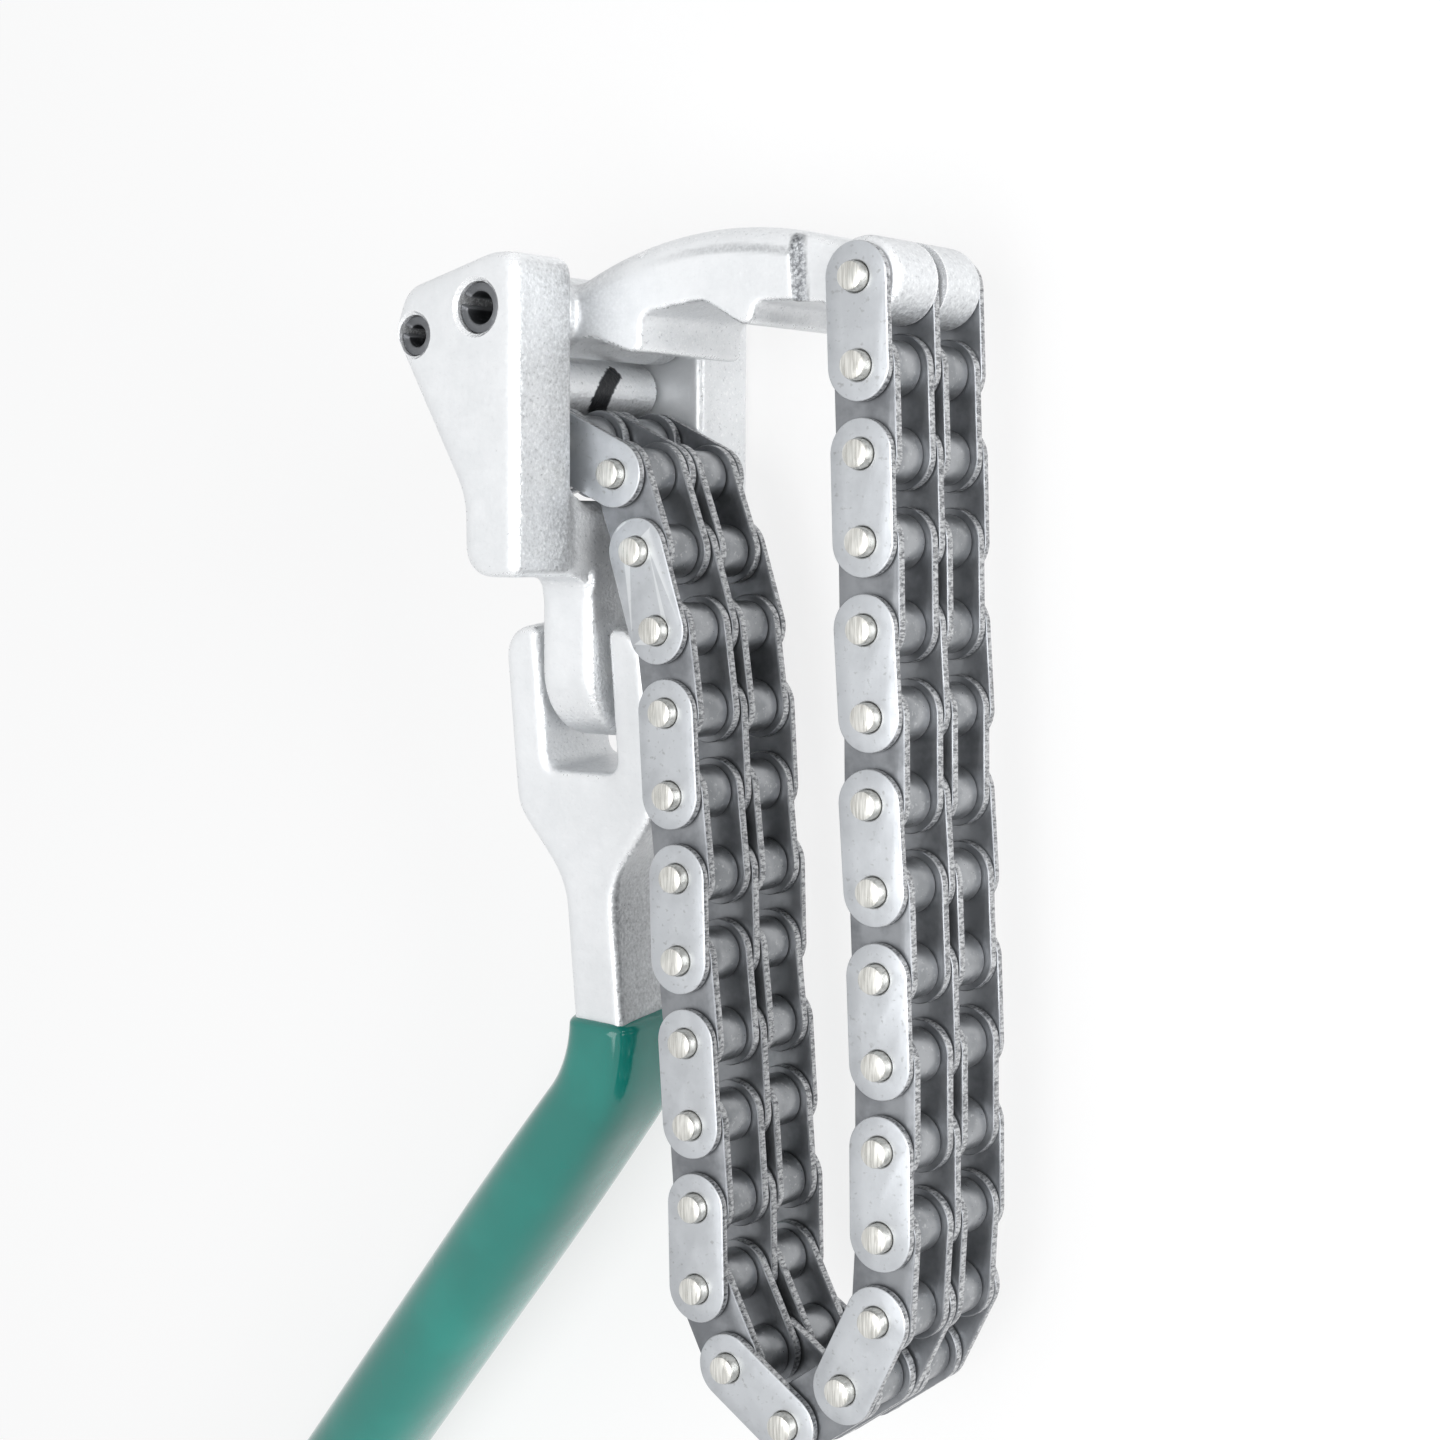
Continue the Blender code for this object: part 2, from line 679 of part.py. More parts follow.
def make_grip():
    """Dipped grip: a sleeve over the core, square at its lip, oval below and closed at its end."""
    start = SHANK_TOP - GRIP_TOP
    end = handle_length()
    path = handle_points(start, end, grip_stations(start, end))
    rings = []
    for (distance, place), across in zip(path, across_path([place for _, place in path])):
        swell = math.sin(math.pi / 2 * min(1.0, (distance - start) / GRIP_SWELL))
        from_end = min(1.0, (end - distance) / GRIP_ROUND)
        dome = 0.35 + 0.65 * math.sqrt(1.0 - (1.0 - from_end) ** 2)
        lip_thick = SHANK_HALF + GRIP_WALL
        lip_wide = FORK_HALF + GRIP_WALL
        thick = (lip_thick + (GRIP_THICK - lip_thick) * swell) * dome
        wide = (lip_wide + (GRIP_WIDE - lip_wide) * swell) * dome
        power = 0.45 + 0.38 * swell
        ring = []
        for index in range(GRIP_SIDES):
            angle = 2 * math.pi * (index + 0.5) / GRIP_SIDES
            out = math.copysign(abs(math.cos(angle)) ** power, math.cos(angle)) * thick
            up = math.copysign(abs(math.sin(angle)) ** power, math.sin(angle)) * wide
            ring.append((*(place + out * across), up))
        rings.append(ring)
    grip = loft("grip", rings)
    hole = handle_points(start - SPARE, end - GRIP_END_WALL + BORE_GAP)
    pocket = bar_profile(SHANK_HALF + BORE_GAP, FORK_HALF + BORE_GAP)
    return cut(grip, sweep("pocket", [(place, 1.0) for _, place in hole], pocket))


def droop_angle(grip):
    """Finds the turn about the flex pin that sets the grip on the floor."""
    angle = 0.0
    for _ in range(12):
        lowest = 0.0
        furthest = 1.0
        for vertex in grip.data.vertices:
            y = vertex.co.y / MM - FLEX_Y
            height = y * math.sin(angle) + vertex.co.z / MM * math.cos(angle)
            if height < lowest:
                lowest = height
                furthest = -y
        angle += (lowest + HEAD_HALF) / furthest
    return angle


def set_piece(item, material, parent, axis=(0.0, 0.0), tilt=0.0):
    """Gives a piece its finish and puts its origin on the axis it turns on."""
    collection(WORKSHOP).objects.unlink(item)
    collection(WRENCH).objects.link(item)
    item.data.materials.clear()
    item.data.materials.append(material)
    item.data.transform(Matrix.Translation((-axis[0] * MM, -axis[1] * MM, 0.0)))
    item.parent = parent
    item.location = (axis[0] * MM, axis[1] * MM, 0.0)
    item.rotation_euler.x = tilt
    item.data.shade_smooth()
    item.data.set_sharp_from_angle(angle=math.radians(30.0))


def main() -> None:
    """Builds the wrench around its carrying empty."""
    clear_scene()
    finishes = make_finishes()
    wrench = new_object("wrench", None, WRENCH)
    wrench.location = (-REST_POINT[0] * MM, -REST_POINT[1] * MM, HEAD_HALF * MM)
    last = tuple(chain_pins()[-1])
    zinc = finishes["zinc_forging"]
    black = finishes["black_steel"]
    flex_axis = (FORK_CENTRE, FLEX_Y)
    handle = make_handle()
    grip = make_grip()
    flex_low = FORK_CENTRE - FORK_OUTER + BORE_GAP
    flex_high = FORK_CENTRE + FORK_OUTER - BORE_GAP
    flex_pin = cross_rod("flex_pin", FLEX_Y, FLEX_PIN_RADIUS, flex_low, flex_high, 12)
    tilt = droop_angle(grip)
    set_piece(make_head(), zinc, wrench)
    set_piece(make_arm(), zinc, wrench)
    set_piece(make_anchor(last), zinc, wrench, ANCHOR_PIVOT)
    set_piece(spring_pin("arm_pivot_pin", (0.0, 0.0), ARM_PIN_RADIUS, 16), black, wrench)
    set_piece(
        spring_pin("anchor_pivot_pin", ANCHOR_PIVOT, ANCHOR_PIN_RADIUS, 12), black, wrench,
        ANCHOR_PIVOT,
    )
    end_pin = rod("chain_end_pin", last, CHAIN_PIN_RADIUS, -PIN_HALF, PIN_HALF, PIN_SIDES)
    set_piece(end_pin, finishes["pin_steel"], wrench, last)
    set_piece(handle, zinc, wrench, flex_axis, tilt)
    set_piece(grip, finishes["dipped_grip"], wrench, flex_axis, tilt)
    set_piece(flex_pin, finishes["pin_steel"], wrench, flex_axis, tilt)
    make_chain(wrench, finishes["chain_steel"])
    bpy.data.collections.remove(collection(WORKSHOP))


main()
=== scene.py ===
"""Dresses the chain filter wrench: satin forgings, duplex roller chain and dipped grip.

Every piece is drawn in millimetres around the arm's pivot, at half the head's width, with X
towards the end of the arm, Y up the head and Z along the pins, and is then put in the frame
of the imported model, in metres.
"""
from __future__ import annotations

import logging
import math
from dataclasses import dataclass, field
from enum import Enum
from typing import Any, Callable, Iterable, Sequence

import bmesh
import bpy
from mathutils import Matrix, Vector

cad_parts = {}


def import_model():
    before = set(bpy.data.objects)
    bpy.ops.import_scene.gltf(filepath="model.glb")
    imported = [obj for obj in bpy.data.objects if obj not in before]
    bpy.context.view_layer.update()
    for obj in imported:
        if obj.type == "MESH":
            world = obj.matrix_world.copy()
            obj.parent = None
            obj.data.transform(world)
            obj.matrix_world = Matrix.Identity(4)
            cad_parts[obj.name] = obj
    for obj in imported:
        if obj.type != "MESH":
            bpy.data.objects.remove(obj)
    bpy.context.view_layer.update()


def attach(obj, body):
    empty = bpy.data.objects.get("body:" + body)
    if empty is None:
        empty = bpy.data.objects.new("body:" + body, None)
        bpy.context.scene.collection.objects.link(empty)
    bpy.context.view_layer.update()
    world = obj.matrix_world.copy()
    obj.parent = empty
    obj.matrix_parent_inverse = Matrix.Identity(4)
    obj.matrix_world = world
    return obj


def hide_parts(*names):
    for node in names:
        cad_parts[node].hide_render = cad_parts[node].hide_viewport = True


LOG = logging.getLogger("chain_wrench")

MM = 0.001
HALF_WIDTH = 22.94
PIVOT = (1.5, 13.0)
HANDLE_TILT = 6.349
FLEX_Y = -41.7
# Name of the point attribute that carries the share of painted shade.
PAINTED_SHADE = "painted_shade"
RIM_STEPS = 3
TO_X = Matrix(((0, 0, 1, 0), (1, 0, 0, 0), (0, 1, 0, 0), (0, 0, 0, 1)))

Point = tuple[float, float]
Triple = tuple[float, float, float]
Corner = Triple
Colour = Triple
Item = bpy.types.Object
Socket = bpy.types.NodeSocket


class Slot(Enum):
    """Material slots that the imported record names."""

    FORGING = "forging"
    CHAIN = "chain_steel"
    BLACK = "black_steel"
    PIN = "pin_steel"
    GRIP = "grip"


class Axis(Enum):
    """Axis that an outline is extruded along."""

    X = "x"
    Z = "z"


def frame_place() -> Matrix:
    """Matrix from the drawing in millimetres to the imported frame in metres."""
    shift = Matrix.Translation((PIVOT[0] * MM, PIVOT[1] * MM, HALF_WIDTH * MM))
    return shift @ Matrix.Scale(MM, 4)


def handle_place() -> Matrix:
    """Matrix for pieces on the handle, which hangs a little towards the floor."""
    out = Matrix.Translation((0.0, FLEX_Y, 0.0))
    return frame_place() @ out @ Matrix.Rotation(math.radians(HANDLE_TILT), 4, "X") @ out.inverted()


class Bench:
    """Adds nodes to one tree and wires them up."""

    def __init__(self, tree: bpy.types.NodeTree) -> None:
        """Keeps the tree that the nodes go into."""
        self.tree = tree

    def node(self, kind: str, inputs: dict | None = None, **settings: Any) -> bpy.types.Node:
        """Adds a node.

        Args:
            kind: Blender's name of the node type.
            inputs: Values or sockets by the input's name or index.
            **settings: Properties of the node.

        Returns:
            The new node.
        """
        made = self.tree.nodes.new(kind)
        for name, value in settings.items():
            setattr(made, name, value)
        for key, value in (inputs or {}).items():
            self.feed(made.inputs[key], value)
        return made

    def feed(self, socket: Socket, value: Any) -> None:
        """Links a socket to another, or sets its value."""
        if isinstance(value, Field):
            value = value.socket
        if isinstance(value, Socket):
            self.tree.links.new(value, socket)
        else:
            socket.default_value = value

    def out(self, kind: str, inputs: dict | None = None, port: int | str = 0, **settings: Any) -> Socket:
        """Adds a node and returns one of its outputs."""
        return self.node(kind, inputs, **settings).outputs[port]

    def field(self, kind: str, inputs: dict | None = None, port: int | str = 0, **settings: Any) -> "Field":
        """Adds a node and returns one of its outputs as a field for arithmetic."""
        return Field(self, self.out(kind, inputs, port, **settings))

    def coords(self, scale: Sequence[float] = (1.0, 1.0, 1.0)) -> Socket:
        """Object coordinates, stretched along each axis."""
        source = self.out("ShaderNodeTexCoord", port="Object")
        return self.out("ShaderNodeMapping", {"Vector": source, "Scale": scale})

    def noise(self, where: Any, scale: float, detail: float = 2.0, rough: float = 0.5) -> "Field":
        """Noise at a scale in features per metre."""
        inputs = {"Vector": where, "Scale": scale, "Detail": detail, "Roughness": rough}
        return self.field("ShaderNodeTexNoise", inputs)

    def band(self, source: Any, low: float, high: float) -> "Field":
        """Maps a value's range to 0..1 with soft ends."""
        inputs = {"Value": source, "From Min": low, "From Max": high}
        return self.field("ShaderNodeMapRange", inputs, interpolation_type="SMOOTHSTEP")

    def blend(self, share: Any, first: Any, second: Any) -> Socket:
        """Mixes two colours."""
        colours = [(*c, 1.0) if isinstance(c, tuple) else c for c in (first, second)]
        inputs = {0: share, 6: colours[0], 7: colours[1]}
        return self.out("ShaderNodeMix", inputs, 2, data_type="RGBA")

    def layered(self, ground: Any, *layers: tuple[Any, Any]) -> Socket:
        """Lays colours over a ground one after another, each with its share."""
        for share, colour in layers:
            ground = self.blend(share, ground, colour)
        return ground

    def bump(self, height: Any, strength: Any, depth: float, under: Any = None) -> Socket:
        """Bumps a surface by a height, depth in metres."""
        inputs = {"Height": height, "Strength": strength, "Distance": depth}
        if under is not None:
            inputs["Normal"] = under
        return self.out("ShaderNodeBump", inputs)

    def vector(self, x: Any, y: Any, z: Any) -> Socket:
        """Puts three numbers together as a vector."""
        return self.out("ShaderNodeCombineXYZ", {0: x, 1: y, 2: z})

    def number(self, value: Any) -> "Field":
        """A field that carries a number, which may be one already."""
        if isinstance(value, Field):
            return value
        return self.field("ShaderNodeMath", {0: value, 1: 0.0}, operation="ADD")

    def worn(self, low: float, high: float) -> "Field":
        """How far an edge stands out, for rubbed edges and for painted edge highlights."""
        return self.band(self.out("ShaderNodeNewGeometry", port="Pointiness"), low, high)

    def paint(self, shape: Any, finish: "Finish", **chosen: Any) -> Socket:
        """Gives a geometry, or only its chosen faces, a finish."""
        inputs = {"Geometry": shape, "Material": finish.material(), **chosen}
        return self.out("GeometryNodeSetMaterial", inputs)

    def joined(self, parts: Iterable[Any]) -> Socket:
        """Joins geometries."""
        node = self.node("GeometryNodeJoinGeometry")
        for part in parts:
            self.tree.links.new(part, node.inputs[0])
        return node.outputs[0]

    def minus(self, body: Any, cutters: Iterable[Any]) -> Socket:
        """Cuts geometries out of a body."""
        node = self.node("GeometryNodeMeshBoolean", operation="DIFFERENCE", solver="EXACT")
        self.tree.links.new(body, node.inputs[0])
        for cutter in cutters:
            self.tree.links.new(cutter, node.inputs[1])
        return node.outputs[0]

    def repeat(self, shape: Any, start: Any, step: Any) -> Socket:
        """Two instances of a shape, the second one step further."""
        inputs = {"Count": 2, "Start Location": start, "Offset": step}
        points = self.out("GeometryNodeMeshLine", inputs, mode="OFFSET")
        return self.out("GeometryNodeInstanceOnPoints", {"Points": points, "Instance": shape})

    def both_sides(self, shape: Any, height: "Field") -> Socket:
        """Two instances of a shape, a height below the middle and above it."""
        low, step = (self.vector(0.0, 0.0, z) for z in (-height, height * 2.0))
        return self.repeat(shape, low, step)


class Field:
    """A number in a node tree that takes ordinary arithmetic."""

    def __init__(self, bench: Bench, socket: Socket) -> None:
        """Keeps the socket that carries the number."""
        self.bench = bench
        self.socket = socket

    def do(self, operation: str, *others: Any) -> "Field":
        """Runs one math node on this field and others."""
        terms = dict(enumerate((self, *others)))
        return self.bench.field("ShaderNodeMath", terms, operation=operation)

    def __add__(self, other: Any) -> "Field":
        """Sum."""
        return self.do("ADD", other)

    def __sub__(self, other: Any) -> "Field":
        """Difference."""
        return self.do("SUBTRACT", other)

    def __mul__(self, other: Any) -> "Field":
        """Product."""
        return self.do("MULTIPLY", other)

    def __truediv__(self, other: Any) -> "Field":
        """Quotient."""
        return self.do("DIVIDE", other)

    __radd__ = __add__
    __rmul__ = __mul__

    def __rsub__(self, other: Any) -> "Field":
        """A number minus this field."""
        return self.bench.field("ShaderNodeMath", {0: other, 1: self}, operation="SUBTRACT")

    def __neg__(self) -> "Field":
        """This field with its sign turned."""
        return 0.0 - self

    def held(self, low: Any, high: Any) -> "Field":
        """This field kept between two values."""
        return self.do("MAXIMUM", low).do("MINIMUM", high)


# Finishes


@dataclass(frozen=True)
class Finish:
    """Base of every finish: makes one procedural material."""

    name: str

    def material(self) -> bpy.types.Material:
        """Makes the material, or returns the one that is there."""
        found = bpy.data.materials.get(self.name)
        if found:
            return found
        made = bpy.data.materials.new(self.name)
        made.use_nodes = True
        tree = made.node_tree
        shader = tree.nodes["Principled BSDF"]
        self.wire(Bench(tree), shader)
        return made

    def wire(self, bench: Bench, shader: bpy.types.Node) -> None:
        """Fills the shader's sockets."""
        raise NotImplementedError

    @staticmethod
    def coat(
        bench: Bench, shader: bpy.types.Node, colour: Any, metal: float, rough: Any, normal: Any
    ) -> None:
        """Fills the sockets that every finish has."""
        shader.inputs["Metallic"].default_value = metal
        for name, value in (("Base Color", colour), ("Roughness", rough), ("Normal", normal)):
            bench.feed(shader.inputs[name], value)


@dataclass(frozen=True)
class SatinZinc(Finish):
    """Zinc plated forging: satin, with the sparkle of a blasted skin."""

    pale: Colour = (0.83, 0.845, 0.86)
    deep: Colour = (0.66, 0.68, 0.695)
    grain: float = 2300.0
    metal: float = 0.50

    def wire(self, bench: Bench, shader: bpy.types.Node) -> None:
        """Blotches, bright specks, blasted bump, edges lightened partly as polish and partly as a painted
        highlight, and painted shade.
        """
        where = bench.coords()
        grain = bench.noise(where, self.grain, 2.0, 0.65)
        normal = bench.out("ShaderNodeTexCoord", port="Normal")
        facing = bench.field("ShaderNodeSeparateXYZ", {"Vector": normal}, "Z")
        coarse = 1.0 - bench.band(facing.do("ABSOLUTE"), 0.80, 0.97) * 0.85
        cells = {"Vector": where, "Scale": self.grain * 0.8}
        facets = bench.field("ShaderNodeTexVoronoi", cells, "Distance")
        cloud = bench.noise(where, 70.0, 3.0)
        mottle = bench.noise(where, 420.0, 3.0)
        # Edges lightened partly as polished wear and partly as a painted highlight.
        worn = bench.worn(0.502, 0.545)
        shade = bench.band(cloud * 0.6 + mottle * 0.4, 0.35, 0.65)
        specks, pits = bench.band(grain, 0.58, 0.70), bench.band(grain, 0.40, 0.28)
        # Painted shade: a grainy dark tone up to a share of 1, and near black past it as a painted shadow.
        shade_share = bench.field("ShaderNodeAttribute", port="Fac", attribute_name=PAINTED_SHADE)
        shade_grain = bench.blend(bench.band(grain, 0.34, 0.70), (0.085, 0.09, 0.10), (0.38, 0.395, 0.41))
        colour = bench.layered(
            self.pale, (shade * 0.42, self.deep), (specks * coarse * 0.6, (0.97, 0.975, 0.98)),
            (pits * coarse * 0.5, (0.38, 0.39, 0.41)), (worn * 0.5, (0.92, 0.93, 0.94)),
            (shade_share.held(0.0, 1.0), shade_grain), ((shade_share - 1.0).held(0.0, 1.0), (0.020, 0.021, 0.024)),
        )
        rough = 0.38 + (grain - 0.5) * 0.34 + (mottle - 0.5) * 0.12 - worn * 0.12
        skin = bench.bump(grain * 0.9 + facets * 0.5, coarse * 0.85, 0.00011)
        skin = bench.bump(mottle, 0.35, 0.00012, skin)
        self.coat(bench, shader, colour, self.metal, rough.held(0.20, 0.62), skin)


@dataclass(frozen=True)
class ChainSteel(Finish):
    """Rolled chain steel with faint stains and fine rolling lines."""

    pale: Colour = (0.49, 0.51, 0.535)
    deep: Colour = (0.37, 0.385, 0.405)
    stain: Colour = (0.20, 0.20, 0.195)
    within: tuple[float, float] = (0.01028, 0.01044)
    rough: float = 0.36
    lines: Triple = (1.0, 0.12, 1.0)

    def wire(self, bench: Bench, shader: bpy.types.Node) -> None:
        """Stains, rolling lines, edges lightened partly as wear and partly as a painted highlight, a darker
        tone inside the chain and a soft bump.
        """
        where = bench.coords()
        drawn = bench.noise(bench.coords(self.lines), 2600.0, 2.0, 0.6)
        cloud = bench.noise(where, 190.0, 4.0, 0.6)
        dots = bench.noise(where, 1500.0, 2.0, 0.6)
        # Plate edges lightened partly as wear and partly as a painted highlight.
        worn = bench.worn(0.52, 0.60)
        colour = bench.layered(
            self.pale, (bench.band(cloud, 0.38, 0.66) * 0.7, self.deep),
            (bench.band(dots, 0.60, 0.74) * 0.5, self.stain), (drawn * 0.14, (0.55, 0.565, 0.575)),
            (worn * 0.6, (0.74, 0.76, 0.77)),
        )
        # Darker tone on every plate face but the outer faces of the outer plates.
        height = bench.field("ShaderNodeSeparateXYZ", {"Vector": where}, "Z") - HALF_WIDTH * MM
        outside = bench.band(height.do("ABSOLUTE"), *self.within)
        inner_tone = bench.blend(bench.band(cloud, 0.38, 0.66), (0.25, 0.26, 0.275), (0.16, 0.168, 0.18))
        colour = bench.blend(outside, inner_tone, colour)
        rough = self.rough + (cloud - 0.5) * 0.2 + (dots - 0.5) * 0.16
        skin = bench.bump(drawn * 0.6 + dots * 0.6, 0.35, 0.00003)
        self.coat(bench, shader, colour, 0.82, rough.held(0.2, 0.6), skin)


@dataclass(frozen=True)
class PunchedEdge(Finish):
    """Sheared edge of a punched plate: bright, torn and speckled."""

    def wire(self, bench: Bench, shader: bpy.types.Node) -> None:
        """Torn streaks across the plate's thickness."""
        torn = bench.noise(bench.coords((1.0, 1.0, 0.35)), 3200.0, 3.0, 0.7)
        dots = bench.noise(bench.coords(), 1300.0, 2.0, 0.6)
        colour = bench.blend(bench.band(torn, 0.36, 0.62), (0.15, 0.155, 0.165), (0.56, 0.57, 0.58))
        colour = bench.blend(bench.band(dots, 0.55, 0.7) * 0.5, colour, (0.20, 0.20, 0.205))
        skin = bench.bump(torn, 0.7, 0.00008)
        self.coat(bench, shader, colour, 0.8, (0.34 + (torn - 0.5) * 0.4).held(0.2, 0.6), skin)


@dataclass(frozen=True)
class RollerSteel(Finish):
    """Tumbled roller: satin with small dents."""

    def wire(self, bench: Bench, shader: bpy.types.Node) -> None:
        """Clouds and small dents."""
        where = bench.coords()
        cloud = bench.noise(where, 260.0, 3.0)
        dents = bench.noise(where, 1700.0, 2.0, 0.6)
        colour = bench.blend(bench.band(cloud, 0.35, 0.65), (0.37, 0.38, 0.395), (0.25, 0.26, 0.272))
        colour = bench.blend(bench.band(dents, 0.58, 0.72) * 0.5, colour, (0.56, 0.57, 0.58))
        skin = bench.bump(dents, 0.4, 0.00004)
        self.coat(bench, shader, colour, 0.85, (0.33 + (dents - 0.5) * 0.25).held(0.18, 0.5), skin)


@dataclass(frozen=True)
class FiledPin(Finish):
    """Pin steel: bright, its flat ends filed one way."""

    def wire(self, bench: Bench, shader: bpy.types.Node) -> None:
        """File marks across the end and a faint bloom."""
        marks = bench.noise(bench.coords((1.0, 0.07, 0.3)), 4200.0, 2.0, 0.6)
        cloud = bench.noise(bench.coords(), 520.0, 2.0)
        colour = bench.blend(bench.band(marks, 0.35, 0.7), (0.50, 0.495, 0.465), (0.74, 0.735, 0.70))
        colour = bench.blend(bench.band(cloud, 0.5, 0.7) * 0.3, colour, (0.50, 0.52, 0.50))
        skin = bench.bump(marks, 0.5, 0.00004)
        self.coat(bench, shader, colour, 0.85, (0.30 + (marks - 0.5) * 0.2).held(0.16, 0.5), skin)


@dataclass(frozen=True)
class BlackOxide(Finish):
    """Blackened spring steel, rubbed grey along its rims."""

    def wire(self, bench: Bench, shader: bpy.types.Node) -> None:
        """Dark skin, grey where it is rubbed."""
        where = bench.coords()
        grit = bench.noise(where, 1900.0, 3.0, 0.6)
        cloud = bench.noise(where, 480.0, 3.0)
        colour = bench.blend(bench.band(cloud, 0.4, 0.7), (0.030, 0.032, 0.036), (0.075, 0.08, 0.085))
        colour = bench.blend(bench.band(grit, 0.58, 0.72) * 0.6, colour, (0.22, 0.23, 0.24))
        colour = bench.blend(bench.worn(0.51, 0.58) * 0.7, colour, (0.34, 0.35, 0.37))
        skin = bench.bump(grit, 0.4, 0.00005)
        self.coat(bench, shader, colour, 0.6, (0.42 + (grit - 0.5) * 0.3).held(0.25, 0.6), skin)


@dataclass(frozen=True)
class DippedVinyl(Finish):
    """Glossy dipped plastic with slow waves and a few dust nibs."""

    body: Colour = (0.004, 0.205, 0.168)
    rich: Colour = (0.006, 0.250, 0.205)

    def wire(self, bench: Bench, shader: bpy.types.Node) -> None:
        """Slow waves, fine orange peel and nibs."""
        where = bench.coords()
        cloud = bench.noise(where, 60.0, 3.0)
        waves = bench.noise(bench.coords((1.0, 0.45, 1.0)), 110.0, 2.0)
        peel = bench.noise(where, 900.0, 2.0)
        nibs = bench.band(bench.noise(where, 420.0, 1.0), 0.73, 0.80)
        colour = bench.blend(bench.band(cloud, 0.35, 0.65), self.body, self.rich)
        rough = 0.14 + (peel - 0.5) * 0.08 + nibs * 0.1
        skin = bench.bump(waves, 0.35, 0.0006)
        skin = bench.bump(peel * 0.4 + nibs, 0.25, 0.00008, skin)
        self.coat(bench, shader, colour, 0.0, rough.held(0.08, 0.35), skin)
        for name, value in (("IOR", 1.5), ("Coat Weight", 0.25), ("Coat Roughness", 0.08)):
            shader.inputs[name].default_value = value


ZINC = SatinZinc("satin_zinc")
PLATE = ChainSteel("chain_plate_face")
PLATE_EDGE = PunchedEdge("chain_plate_edge")
ROLLER = RollerSteel("chain_roller")
PIN_END = FiledPin("filed_pin")
OXIDE = BlackOxide("black_oxide")
VINYL = DippedVinyl("dipped_vinyl")


# Mesh tools


def arc(centre: Point, radius: float, start: float, end: float, steps: int) -> list[Point]:
    """Points on an arc, angles in degrees."""
    points = []
    for index in range(steps + 1):
        angle = math.radians(start + (end - start) * index / steps)
        points.append((centre[0] + radius * math.cos(angle), centre[1] + radius * math.sin(angle)))
    return points


def rounded(corners: Sequence[Corner], step_degrees: float = 9.0) -> list[Point]:
    """Rounds the corners of a closed outline.

    Args:
        corners: (x, y, fillet radius) of each corner, in order round the outline.
        step_degrees: Turn between two points of a fillet.

    Returns:
        The outline's points.
    """
    places = [Vector(corner[:2]) for corner in corners]
    sides = [place - places[index - 1] for index, place in enumerate(places)]
    sides.append(sides[0])
    turns = [sides[index].angle(sides[index + 1]) for index in range(len(places))]
    wanted = [corner[2] * math.tan(turn / 2) for corner, turn in zip(corners, turns)]
    points: list[Point] = []
    for index, corner in enumerate(places):
        turn = turns[index]
        reach = wanted[index]
        if reach <= 0.0 or turn < 0.02:
            points.append((corner.x, corner.y))
            continue
        following = (index + 1) % len(places)
        for other, side in ((index - 1, sides[index]), (following, sides[index + 1])):
            reach = min(reach, 0.96 * side.length * wanted[index] / (wanted[index] + wanted[other]))
        first = corner - sides[index].normalized() * reach
        last = corner + sides[index + 1].normalized() * reach
        steps = max(2, round(math.degrees(turn) / step_degrees))
        weight = math.cos(turn / 2)
        for step in range(steps + 1):
            t = step / steps
            a, b, c = (1 - t) ** 2, 2 * t * (1 - t) * weight, t * t
            place = (first * a + corner * b + last * c) / (a + b + c)
            points.append((place.x, place.y))
    return points


def mirrored(lower: Sequence[tuple[Any, Any]]) -> list[tuple[Any, Any]]:
    """Profile of (radius, height) whose upper half mirrors the lower one."""
    return [*lower, *((radius, -height) for radius, height in reversed(lower))]


def raised(profile: Sequence[Point], height: float) -> list[Point]:
    """A profile of (radius, height) moved along its axis."""
    return [(radius, place + height) for radius, place in profile]


def both_ends(low: float, high: float) -> tuple[Point, Point]:
    """A stretch of an axis and its mirror image, each from low to high."""
    return (low, high), (-high, -low)


def placed(name: str, data: Any) -> Item:
    """Makes an object of a mesh, lamp or camera and puts it in the scene."""
    item = bpy.data.objects.new(name, data)
    bpy.context.scene.collection.objects.link(item)
    return item


def bridge(mesh: bmesh.types.BMesh, rings: Sequence[Sequence[bmesh.types.BMVert]]) -> None:
    """Joins each ring of points to the next one with faces."""
    for lower, upper in zip(rings, rings[1:]):
        for index in range(len(lower)):
            after = (index + 1) % len(lower)
            mesh.faces.new((lower[index], lower[after], upper[after], upper[index]))


